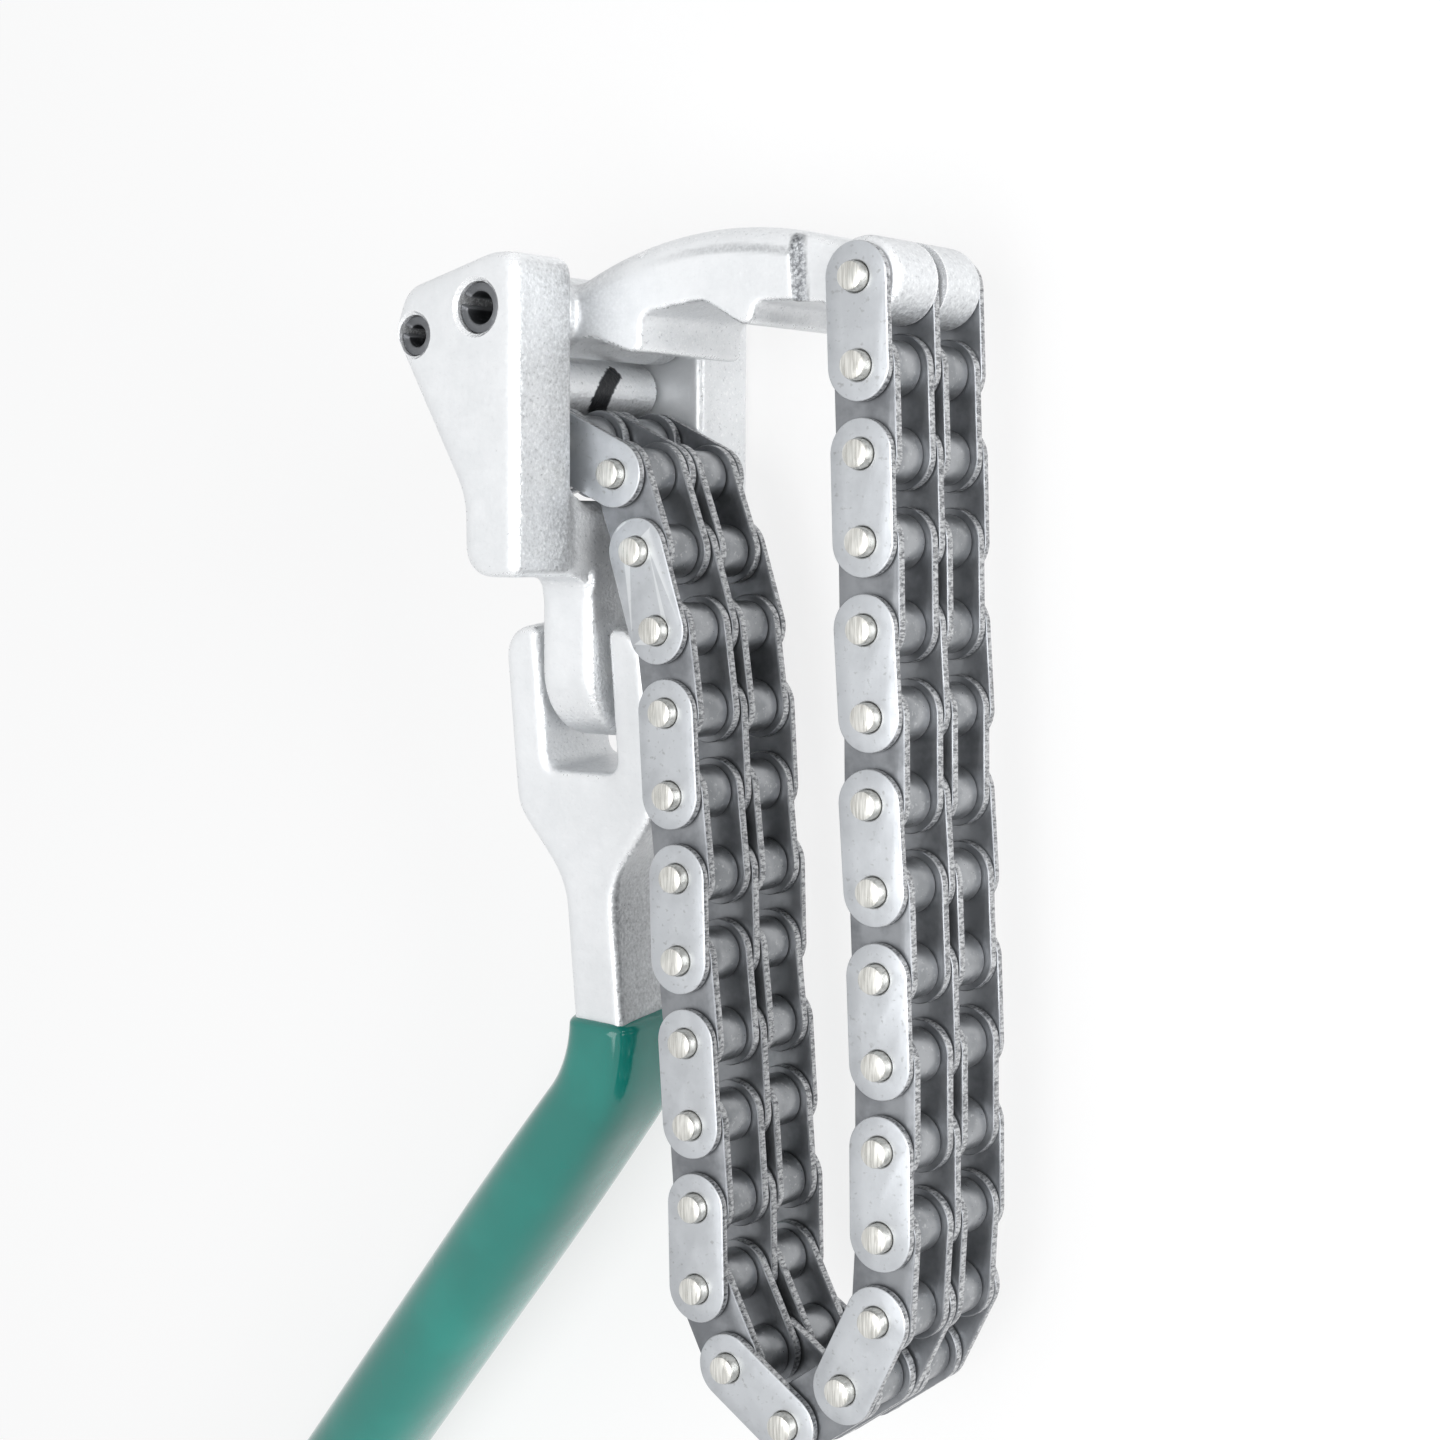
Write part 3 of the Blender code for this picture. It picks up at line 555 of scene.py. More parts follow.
@dataclass
class Solid:
    """Closed shells gathered in one mesh, which may overlap before they are fused."""

    mesh: bmesh.types.BMesh = field(default_factory=bmesh.new)

    def slab(
        self, outline: Sequence[Point], low: float, high: float, axis: Axis = Axis.Z, rim: float = 0.0,
    ) -> "Solid":
        """Adds an extruded outline.

        Args:
            outline: Corners in drawing order. Along Z they are (x, y), along X they are (y, z).
            low: Where the slab starts along its axis.
            high: Where it ends.
            axis: Axis of the extrusion.
            rim: Bevel width of both rims.

        Returns:
            This solid.
        """
        part = bmesh.new()
        face = part.faces.new([part.verts.new((x, y, low)) for x, y in outline])
        grown = bmesh.ops.extrude_face_region(part, geom=[face])
        moved = [item for item in grown["geom"] if isinstance(item, bmesh.types.BMVert)]
        bmesh.ops.translate(part, verts=moved, vec=(0.0, 0.0, high - low))
        bmesh.ops.recalc_face_normals(part, faces=part.faces)
        if rim > 0.0:
            edges = [e for e in part.edges if abs(e.verts[0].co.z - e.verts[1].co.z) < 1e-6]
            bmesh.ops.bevel(
                part, geom=edges, offset=rim, segments=RIM_STEPS, profile=0.5, affect="EDGES",
                clamp_overlap=True,
            )
        return self.take(part, axis)

    def turned(
        self, profile: Sequence[Point], centre: Point = (0.0, 0.0), sides: int = 48, axis: Axis = Axis.Z,
    ) -> "Solid":
        """Adds a lathe-turned piece.

        Args:
            profile: (radius, height) from the lower end to the upper end.
            centre: Where its axis passes, as (x, y) along Z or (y, z) along X.
            sides: Points round it.
            axis: Axis that it turns about.

        Returns:
            This solid.
        """
        part = bmesh.new()
        rings = []
        for radius, height in profile:
            ring = []
            for index in range(sides):
                angle = 2 * math.pi * (index + 0.5) / sides
                place = (centre[0] + radius * math.cos(angle), centre[1] + radius * math.sin(angle))
                ring.append(part.verts.new((*place, height)))
            rings.append(ring)
        bridge(part, rings)
        part.faces.new(list(reversed(rings[0])))
        part.faces.new(rings[-1])
        bmesh.ops.recalc_face_normals(part, faces=part.faces)
        return self.take(part, axis)

    def take(self, part: bmesh.types.BMesh, axis: Axis) -> "Solid":
        """Adds a mesh that was drawn along Z, turned to its axis, and frees it."""
        if axis is Axis.X:
            part.transform(TO_X)
        spare = bpy.data.meshes.new("spare")
        part.to_mesh(spare)
        part.free()
        self.mesh.from_mesh(spare)
        bpy.data.meshes.remove(spare)
        return self

    def item(self, name: str) -> Item:
        """Turns the shells into an object and frees them."""
        mesh = bpy.data.meshes.new(name)
        self.mesh.to_mesh(mesh)
        self.mesh.free()
        return placed(name, mesh)


def modify(item: Item, kind: str, **settings: Any) -> None:
    """Adds a modifier to an object."""
    step = item.modifiers.new(kind.lower(), kind)
    for name, value in settings.items():
        setattr(step, name, value)


def plain(item: Item) -> Item:
    """Applies an object's modifiers to its mesh."""
    graph = bpy.context.evaluated_depsgraph_get()
    mesh = bpy.data.meshes.new_from_object(item.evaluated_get(graph))
    item.modifiers.clear()
    old = item.data
    item.data = mesh
    mesh.name = item.name
    bpy.data.meshes.remove(old)
    return item


def fused(item: Item, voxel: float, rounds: int) -> Item:
    """Fuses overlapping shells into one skin and softens its edges.

    Args:
        item: Object with closed shells.
        voxel: Size of the new faces in millimetres.
        rounds: How often the skin is smoothed.

    Returns:
        The same object.
    """
    modify(item, "REMESH", mode="VOXEL", voxel_size=voxel, adaptivity=0.0)
    modify(item, "SMOOTH", factor=0.5, iterations=rounds)
    return plain(item)


def carve(item: Item, tool: Item) -> Item:
    """Cuts a tool out of an object and removes the tool."""
    modify(item, "BOOLEAN", solver="EXACT", operation="DIFFERENCE", object=tool)
    plain(item)
    bpy.data.objects.remove(tool, do_unlink=True)
    return item


def bore_profile(radius: float, half: float, flare: float, reach: float = 3.0) -> list[Point]:
    """Profile of a cutter for a through hole with a chamfer at each mouth."""
    return mirrored([(radius + flare + reach, -half - reach), (radius, -half + flare)])


def pin_profile(radius: float, half: float, chamfer: float) -> list[Point]:
    """Turned profile of a pin with chamfered, slightly domed ends."""
    return mirrored([
        (radius * 0.35, -half), (radius - chamfer, -half + 0.06), (radius, -half + chamfer + 0.06),
    ])


def eased(value: float, low: float, high: float) -> float:
    """Soft step from 0 at one value to 1 at another."""
    share = min(1.0, max(0.0, (value - low) / (high - low)))
    return share * share * (3.0 - 2.0 * share)


def write_shade(item: Item, rule: Callable[[Vector, Vector], float]) -> None:
    """Writes the share of painted shade at each point, by a rule of its place and normal."""
    mesh = item.data
    shares = mesh.attributes.new(PAINTED_SHADE, "FLOAT", "POINT")
    for vertex, share in zip(mesh.vertices, shares.data):
        share.value = rule(vertex.co, vertex.normal)


@dataclass
class Piece:
    """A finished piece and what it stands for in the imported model."""

    item: Item
    body: str
    nodes: tuple[str, ...]
    slot: Slot

    def settle(self, place: Matrix, sharp: float = 35.0) -> None:
        """Puts the piece in the frame and makes it ride on its body.

        Args:
            place: Matrix from the drawing to the frame.
            sharp: Angle in degrees past which an edge stays sharp.
        """
        mesh = self.item.data
        mesh.transform(place)
        mesh.shade_smooth()
        mesh.set_sharp_from_angle(angle=math.radians(sharp))
        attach(self.item, self.body)
        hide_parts(*self.nodes)
        LOG.info("%s: %d faces on %s", self.item.name, len(mesh.polygons), self.body)


def dress(item: Item, finish: Finish) -> Item:
    """Gives a whole object one finish."""
    item.data.materials.clear()
    item.data.materials.append(finish.material())
    return item


# Sub-assemblies


class Forging:
    """A forged piece that is bored, plated and given painted shade in places."""

    def rawness(self, place: Vector, normal: Vector) -> float:
        """Share of painted shade at a point: 0 none, 1 grainy painted shade, 2 near-black painted shadow."""
        raise NotImplementedError

    def finish(self, item: Item, tools: Solid, name: str, place: Matrix) -> None:
        """Cuts the bores, gives the piece its skin and its painted shade and settles it on the body of its
        name.
        """
        dress(carve(item, tools.item(f"{name}_bores")), ZINC)
        write_shade(item, self.rawness)
        Piece(item, name, (name,), Slot.FORGING).settle(place)


@dataclass
class Head(Forging):
    """Forged head: two cheeks, the base between them and the tongue."""

    cheek_inner: float = 12.5
    front: float = 6.05
    bottom: float = -30.65
    top: float = 6.2
    back: tuple[Corner, ...] = (
        (1.9, 6.2, 4.5), (-10.9, 2.7, 3.4), (-12.9, -2.4, 2.8), (-2.1, -21.5, 9.0), (-2.0, -30.65, 3.4),
    )
    rim: float = 1.1
    base_back: float = -2.1
    base_top: float = -21.7
    tongue_back: float = -2.6
    tongue_front: float = 5.3
    tongue_radius: float = 8.3
    root: float = -26.0
    gusset_back: float = -34.6
    gusset_low: float = -36.4
    gusset_front: float = -31.9
    anchor_pivot: Point = (-9.6, -2.8)
    arm_hole: float = 3.0
    anchor_hole: float = 2.4
    flex_hole: float = 2.6
    voxel: float = 0.42

    def cheek_outline(self) -> list[Point]:
        """Side view of a cheek."""
        front = ((self.front, self.bottom, 1.3), (self.front, self.top, 2.0))
        return rounded(front + self.back)

    def shell(self) -> Item:
        """Cheeks, base, tongue and the fillets between them."""
        solid = Solid()
        outline = self.cheek_outline()
        for low, high in both_ends(self.cheek_inner, HALF_WIDTH):
            solid.slab(outline, low, high, rim=self.rim)
        inside = self.cheek_inner + 2.0
        base = rounded((
            (self.base_back, self.bottom + 0.3, 1.0), (self.front - 0.4, self.bottom + 0.3, 1.6),
            (self.front - 0.4, self.base_top, 1.9), (self.base_back, self.base_top, 1.2),
        ))
        solid.slab(base, -inside, inside)
        for side in (1.0, -1.0):
            wall = self.cheek_inner * side
            corner = rounded((
                (self.base_top - 0.5, wall + side, 0.0), (self.base_top + 3.0, wall + 0.2 * side, 0.0),
                (self.base_top + 0.9, wall - 0.9 * side, 1.2), (self.base_top - 0.2, wall - 3.2 * side, 0.0),
            ))
            solid.slab(corner, self.base_back + 0.6, self.front - 1.0, Axis.X)
        disc = arc((FLEX_Y, 0.0), self.tongue_radius, 90.0, 270.0, 40)
        tongue = disc + [(self.root, -self.tongue_radius), (self.root, self.tongue_radius)]
        solid.slab(tongue, self.tongue_back, self.tongue_front, Axis.X, rim=self.rim)
        gusset = rounded((
            (self.tongue_back - 0.2, self.root, 0.0), (self.tongue_back + 0.8, self.gusset_back, 0.0),
            (self.tongue_front - 0.8, self.gusset_low, 0.0),
            (self.tongue_front + 0.2, self.gusset_front, 2.0), (self.front - 0.4, self.root, 0.0),
        ))
        width = self.tongue_radius - 0.3
        solid.slab(gusset, -width, width)
        for side in (1.0, -1.0):
            edge = self.tongue_radius * side
            web = rounded((
                (self.root, edge * 0.8, 0.0), (self.root - 3.0, edge + 4.6 * side, 0.0),
                (self.bottom + 0.1, edge + 3.6 * side, 0.0), (self.bottom - 0.6, edge + 0.5 * side, 1.5),
                (self.bottom - 3.2, edge - 0.1 * side, 0.0), (self.bottom - 4.4, edge * 0.8, 0.0),
            ))
            solid.slab(web, self.tongue_back + 0.5, self.tongue_front - 0.5, Axis.X)
        return fused(solid.item("head_forging"), self.voxel, 5)

    def rawness(self, place: Vector, normal: Vector) -> float:
        """Painted shade across the near cheek's front, deeper away from its outer edge."""
        front = eased(normal.x, 0.6, 0.95) * eased(place.z, 11.0, 12.5)
        return front * (0.54 - 0.24 * eased(place.z, 13.0, 20.0))

    def build(self) -> None:
        """Makes the head and bores it."""
        item = self.shell()
        tools = Solid()
        tools.turned(bore_profile(self.arm_hole, HALF_WIDTH, 0.45), sides=64)
        tools.turned(bore_profile(self.anchor_hole, HALF_WIDTH, 0.4), self.anchor_pivot, 56)
        middle = (self.tongue_back + self.tongue_front) / 2
        half = (self.tongue_front - self.tongue_back) / 2
        hole = raised(bore_profile(self.flex_hole, half, 0.4, 1.5), middle)
        tools.turned(hole, (FLEX_Y, 0.0), 48, Axis.X)
        self.finish(item, tools, "head", frame_place())


@dataclass
class SpringPins:
    """Rolled spring pins, their seam open towards the back, set into both cheeks."""

    recess: float = 0.8
    wall: float = 1.1
    seam: float = 22.0
    chamfer: float = 0.35
    seam_angle: float = 158.0
    clearance: float = 0.06
    steps: int = 56

    def outline(self, centre: Point, radius: float, inset: float) -> list[Point]:
        """Cross-section of the rolled tube, drawn in by an inset on every side."""
        outer = radius - inset
        inner = radius - self.wall + inset * 0.6
        gap = self.seam * 0.5 * radius / inner + math.degrees(inset / inner)
        half = self.seam * 0.5 + math.degrees(inset / outer)
        start, end = self.seam_angle, self.seam_angle + 360.0
        points = arc(centre, outer, start + half, end - half, self.steps)
        return points + arc(centre, inner, end - gap, start + gap, self.steps)

    def pin(self, name: str, centre: Point, radius: float) -> Item:
        """One pin with chamfered ends."""
        half = HALF_WIDTH - self.recess
        levels = mirrored([
            (self.chamfer, -half), (self.chamfer * 0.3, -half + self.chamfer * 0.35),
            (0.0, -half + self.chamfer),
        ])
        mesh = bmesh.new()
        rings = [
            [mesh.verts.new((x, y, height)) for x, y in self.outline(centre, radius, inset)]
            for inset, height in levels
        ]
        bridge(mesh, rings)
        count = len(rings[0])
        for ring in (rings[0], rings[-1]):
            for index in range(count // 2 - 1):
                other = count - 1 - index
                mesh.faces.new((ring[index], ring[index + 1], ring[other - 1], ring[other]))
        bmesh.ops.recalc_face_normals(mesh, faces=mesh.faces)
        return Solid(mesh).item(name)

    def build(self, head: Head) -> None:
        """Makes both pins."""
        for name, node, centre, hole in (
            ("arm_spring_pin", "arm_pivot_pin", (0.0, 0.0), head.arm_hole),
            ("anchor_spring_pin", "anchor_pivot_pin", head.anchor_pivot, head.anchor_hole),
        ):
            item = dress(self.pin(name, centre, hole - self.clearance), OXIDE)
            Piece(item, "head", (node,), Slot.BLACK).settle(frame_place(), sharp=30.0)


@dataclass
class Arm(Forging):
    """Toothed arm: hub, arched back, two saw teeth and two lugs for the chain's first pin."""

    half: float = 10.1
    neck: float = 3.2
    hub_half: float = 12.1
    hub_radius: float = 4.7
    nose: Point = (43.21, 2.18)
    crown: Point = (25.5, 8.8)
    arch: float = 48.0
    teeth: tuple[tuple[float, float, float, float, float], ...] = (
        (6.4, -2.9, 13.8, -4.8, -0.5), (22.4, 0.7, 29.36, -2.2, 0.2),
    )
    land: float = 1.8
    lug_radius: float = 4.7
    lug_round: float = 1.0
    lug_half: float = 9.06
    lug_reach: float = 7.8
    slot_reach: float = 7.0
    slot_half: float = 0.95
    pin_bore: float = 1.75
    back_round: float = 2.6
    lean: float = 1.9
    lean_low: float = -9.8
    lean_span: float = 24.6
    ramp: float = 1.2
    cutter_reach: float = 12.0
    cutter_rise: float = 6.0
    voxel: float = 0.36

    def back_arc(self, drop: float) -> list[Point]:
        """Arched back of the arm, lowered by a drop, from the nose to the hub."""
        centre = (self.crown[0], self.crown[1] - self.arch)
        start = math.degrees(math.asin((self.nose[0] - self.crown[0]) / self.arch))
        end = math.degrees(math.asin((self.crown[0] - self.hub_radius) / self.arch))
        return arc(centre, self.arch - drop, 90.0 - start, 90.0 + end, 40)

    def outline(self, drop: float) -> list[Point]:
        """Side view, its back lowered by a drop."""
        corners: list[Corner] = [(0.0, -self.neck, 0.0)]
        for ramp, height, front, tip, root in self.teeth:
            corners += [
                (ramp, height, 2.6), (front - self.land, tip, 0.7), (front, tip, 0.5), (front, root, 1.6),
            ]
        x, y = self.nose
        corners += [
            (x - self.lug_reach * 0.7, self.teeth[-1][4] - 0.3, 2.0),
            (x - self.lug_radius * 0.6, y - self.lug_radius * 0.8, 0.0), (x, y, 0.0),
        ]
        return rounded(corners) + self.back_arc(drop) + [(0.0, self.neck - drop)]

    def shell(self) -> Item:
        """Body in steps that round off its back, its shoulders cut away to ramps."""
        solid = Solid()
        for index in range(7):
            angle = math.radians(15.0 * index)
            drop = self.back_round * (1.0 - math.cos(angle))
            half = self.half - self.back_round * (1.0 - math.sin(angle))
            solid.slab(self.outline(drop), -half, half)
        item = fused(solid.item("arm_forging"), self.voxel, 4)
        start = self.nose[0] - self.lug_reach
        below = self.nose[1] - self.cutter_reach
        above = self.crown[1] + self.cutter_rise
        far = self.nose[0] + self.cutter_reach
        tools = Solid()
        shoulder = ((start, below), (far, below), (far, above), (start - self.lean, above))
        for low, high in both_ends(self.lug_half, self.half + 4.0):
            tools.slab(shoulder, low, high)
        slope = self.ramp / (self.half - self.lug_half)
        for vertex in tools.mesh.verts:
            vertex.co.x += slope * (self.half - abs(vertex.co.z))
        carve(item, tools.item("arm_shoulders"))
        return item

    def rawness(self, place: Vector, normal: Vector) -> float:
        """Painted shade: in the ramps, along the back's fillet and towards the hub on the sides, and on the
        lugs' rims, most where they face down.
        """
        centre = Vector((self.crown[0], self.crown[1] - self.arch))
        depth = self.arch - (place.xy - centre).length
        start = self.nose[0] - self.lug_reach
        from_start = place.x - start + self.lean * (place.y - self.lean_low) / self.lean_span
        side = eased(abs(place.z), self.lug_half - 0.5, self.lug_half - 0.1)
        ramp = eased(from_start, -0.15, 0.15)
        ramp *= 1.0 - eased(from_start, self.ramp + 0.2, self.ramp + 0.7)
        line = eased(depth, 1.9, 2.3) * (1.0 - eased(depth, 2.7, 3.3)) * eased(place.x, 12.0, 26.0)
        line *= eased(-from_start, -0.3, 0.2)
        hub = 0.30 * (1.0 - eased(place.x, 6.0, 15.0))
        lug = eased(place.x, self.nose[0] - 3.0, self.nose[0] + 1.0)
        lug *= (0.24 + 0.36 * eased(-normal.y, 0.0, 0.9)) * (1.0 - eased(abs(normal.z), 0.3, 0.8))
        return max(side * max(ramp * 0.92, line * 0.42, hub), lug)

    def lugs(self) -> Item:
        """Hub and lugs, fused to the body."""
        item = self.shell()
        solid = Solid()
        solid.mesh.from_mesh(item.data)
        bpy.data.objects.remove(item, do_unlink=True)
        edge, rim = self.hub_radius, -self.hub_half
        solid.turned(mirrored([(edge - 0.5, rim), (edge, rim + 0.5)]), sides=72)
        turns = [math.radians(22.5 * index) for index in range(5)]
        edge, rim = self.lug_radius - self.lug_round, self.lug_round - self.lug_half
        dome = [
            (edge + self.lug_round * math.sin(turn), rim - self.lug_round * math.cos(turn)) for turn in turns
        ]
        solid.turned(mirrored(dome), self.nose, 72)
        return fused(solid.item("arm_forging"), self.voxel, 3)

    def build(self, bore: float) -> None:
        """Makes the arm, slots its nose and bores it."""
        item = self.lugs()
        start = self.nose[0] - self.slot_reach
        below = -self.cutter_reach
        above = self.crown[1] + self.cutter_rise
        far = self.nose[0] + self.cutter_reach
        slot = ((start, below), (far, below), (far, above), (start, above))
        carve(item, Solid().slab(slot, -self.slot_half, self.slot_half).item("arm_slot"))
        tools = Solid()
        tools.turned(bore_profile(bore, self.hub_half, 0.4), sides=56)
        tools.turned(bore_profile(self.pin_bore, self.lug_half, 0.25, 1.0), self.nose, 40)
        self.finish(item, tools, "arm", frame_place())


@dataclass
class Anchor(Forging):
    """Anchor that holds the chain's last pin: eye, grooved barrel and two blades."""

    pivot: Point = (-9.6, -2.8)
    half: float = 12.1
    eye: float = 4.1
    barrel: Point = (-3.5, -7.9)
    barrel_radius: float = 3.4
    blade_inner: float = 9.68
    blade_radius: float = 3.6
    eye_bore: float = 2.4
    pin_bore: float = 1.75
    slot_height: float = -1.7
    slot_half: float = 0.8
    slot_length: float = 5.0
    slot_depth: float = 2.3
    soft: float = 0.7
    voxel: float = 0.36

    def slot_place(self) -> Matrix:
        """Place of the slanted slot in the barrel: x across it, y along it and z out of it."""
        out = Vector((0.993, 0.12, 0.0))
        along = Vector((0.28, 0.92, -0.28)).normalized()
        deep = Vector((0.58, 0.07, 0.81)).normalized()
        front = Vector((*self.barrel, self.slot_height)) + out * self.barrel_radius
        turn = Matrix((deep.cross(along).normalized(), along, deep)).transposed().to_4x4()
        return Matrix.Translation(front) @ turn

    def slot(self) -> Item:
        """Cutter for the slanted slot across the barrel's front."""
        half, length = self.slot_half, self.slot_length
        box = ((-half, -length), (half, -length), (half, length), (-half, length))
        tool = Solid().slab(box, -self.slot_depth, 6.0).item("barrel_slot")
        tool.data.transform(self.slot_place())
        return tool

    def rawness(self, place: Vector, normal: Vector) -> float:
        """Painted shade: a near-black painted shadow within the slot, painted shade along the barrel's
        underside.
        """
        spot = self.slot_place().inverted() @ place
        across, deep = abs(spot.x) < self.slot_half + 0.06, -spot.z < self.slot_depth + 0.2
        if across and deep and abs(spot.y) < self.slot_length:
            return 2.0
        low = eased(-normal.y, 0.25, 0.9)
        return 0.5 * low * eased(place.x, self.barrel[0] - 2.0, self.barrel[0] + 1.0)

    def build(self, last: Point, sizes: ChainSizes) -> None:
        """Makes the anchor and the chain's last pin."""
        solid = Solid()
        for centre, radius in ((self.pivot, self.eye), (self.barrel, self.barrel_radius)):
            profile = mirrored([
                (radius - self.soft, -self.half), (radius - 0.2, -self.half + 0.25),
                (radius, -self.half + self.soft),
            ])
            solid.turned(profile, centre, 64)
        across = (Vector(self.barrel) - Vector(self.pivot)).normalized().orthogonal()
        web = []
        for place, radius, sides in (
            (self.pivot, self.eye, (1.0, -1.0)), (self.barrel, self.barrel_radius, (-1.0, 1.0)),
        ):
            for side in sides:
                corner = Vector(place) + across * radius * 0.85 * side
                web.append((corner.x, corner.y))
        solid.slab(web, -self.half, self.half)
        blade = rounded((
            (self.pivot[0] - self.blade_radius, self.pivot[1] - 0.8, 0.0),
            (last[0] - self.blade_radius, last[1], 1.0), (last[0] + self.blade_radius, last[1], 1.0),
            (self.barrel[0] - 0.9, self.barrel[1] + 0.9, 0.0),
        ))
        for low, high in both_ends(self.blade_inner, self.half):
            solid.slab(blade, low, high)
            solid.turned([(self.blade_radius, low), (self.blade_radius, high)], last, 56)
        item = fused(solid.item("anchor_forging"), self.voxel, 4)
        carve(item, self.slot())
        tools = Solid()
        tools.turned(bore_profile(self.eye_bore, self.half, 0.35), self.pivot, 48)
        tools.turned(bore_profile(self.pin_bore, self.half, 0.25, 1.0), last, 40)
        self.finish(item, tools, "anchor", frame_place())
        profile = pin_profile(sizes.pin_radius, sizes.pin_half, 0.35)
        pin = Solid().turned(profile, last, 40).item("last_chain_pin")
        Piece(dress(pin, PIN_END), "anchor", ("chain_end_pin",), Slot.PIN).settle(frame_place())


class LinkKind(Enum):
    """The two kinds of link that follow each other along the chain."""

    OUTER = "outer"
    INNER = "inner"


class TreeSizes:
    """Sizes that are the named inputs of a node tree."""

    def inputs(self) -> dict[str, float]:
        """Socket name and value of every size."""
        return {name.replace("_", " ").title(): value for name, value in vars(self).items()}

    def open_tree(self, name: str) -> tuple[Bench, dict[str, Field]]:
        """Starts a node tree and returns its bench and its sizes as fields."""
        tree = bpy.data.node_groups.new(name, "GeometryNodeTree")
        tree.interface.new_socket("Geometry", in_out="INPUT", socket_type="NodeSocketGeometry")
        for title, value in self.inputs().items():
            socket = tree.interface.new_socket(title, in_out="INPUT", socket_type="NodeSocketFloat")
            socket.default_value = value
        tree.interface.new_socket("Geometry", in_out="OUTPUT", socket_type="NodeSocketGeometry")
        bench = Bench(tree)
        entry = bench.node("NodeGroupInput")
        titles = zip(vars(self), self.inputs())
        return bench, {key: Field(bench, entry.outputs[title]) for key, title in titles}

    def grow(self, name: str, tree: bpy.types.NodeTree) -> Item:
        """Runs a node tree with these sizes and keeps the result as a plain mesh."""
        item = placed(name, bpy.data.meshes.new(name))
        step = item.modifiers.new(name, "NODES")
        step.node_group = tree
        values = self.inputs()
        for socket in tree.interface.items_tree:
            if socket.in_out == "INPUT" and socket.name in values:
                step[socket.identifier] = values[socket.name]
        return plain(item)


@dataclass
class ChainSizes(TreeSizes):
    """Sizes of the duplex roller chain."""

    pitch: float = 9.525
    plate_radius: float = 3.92
    inner_thickness: float = 1.3
    outer_thickness: float = 1.04
    middle_thickness: float = 1.3
    plate_edge: float = 0.22
    roller_radius: float = 3.175
    roller_half: float = 2.72
    bush_radius: float = 2.35
    bush_half: float = 4.22
    pin_radius: float = 1.64
    pin_chamfer: float = 0.34
    strand_offset: float = 5.12
    inner_height: float = 3.51
    outer_height: float = 9.98
    pin_half: float = 11.9
    hole_gap: float = 0.07


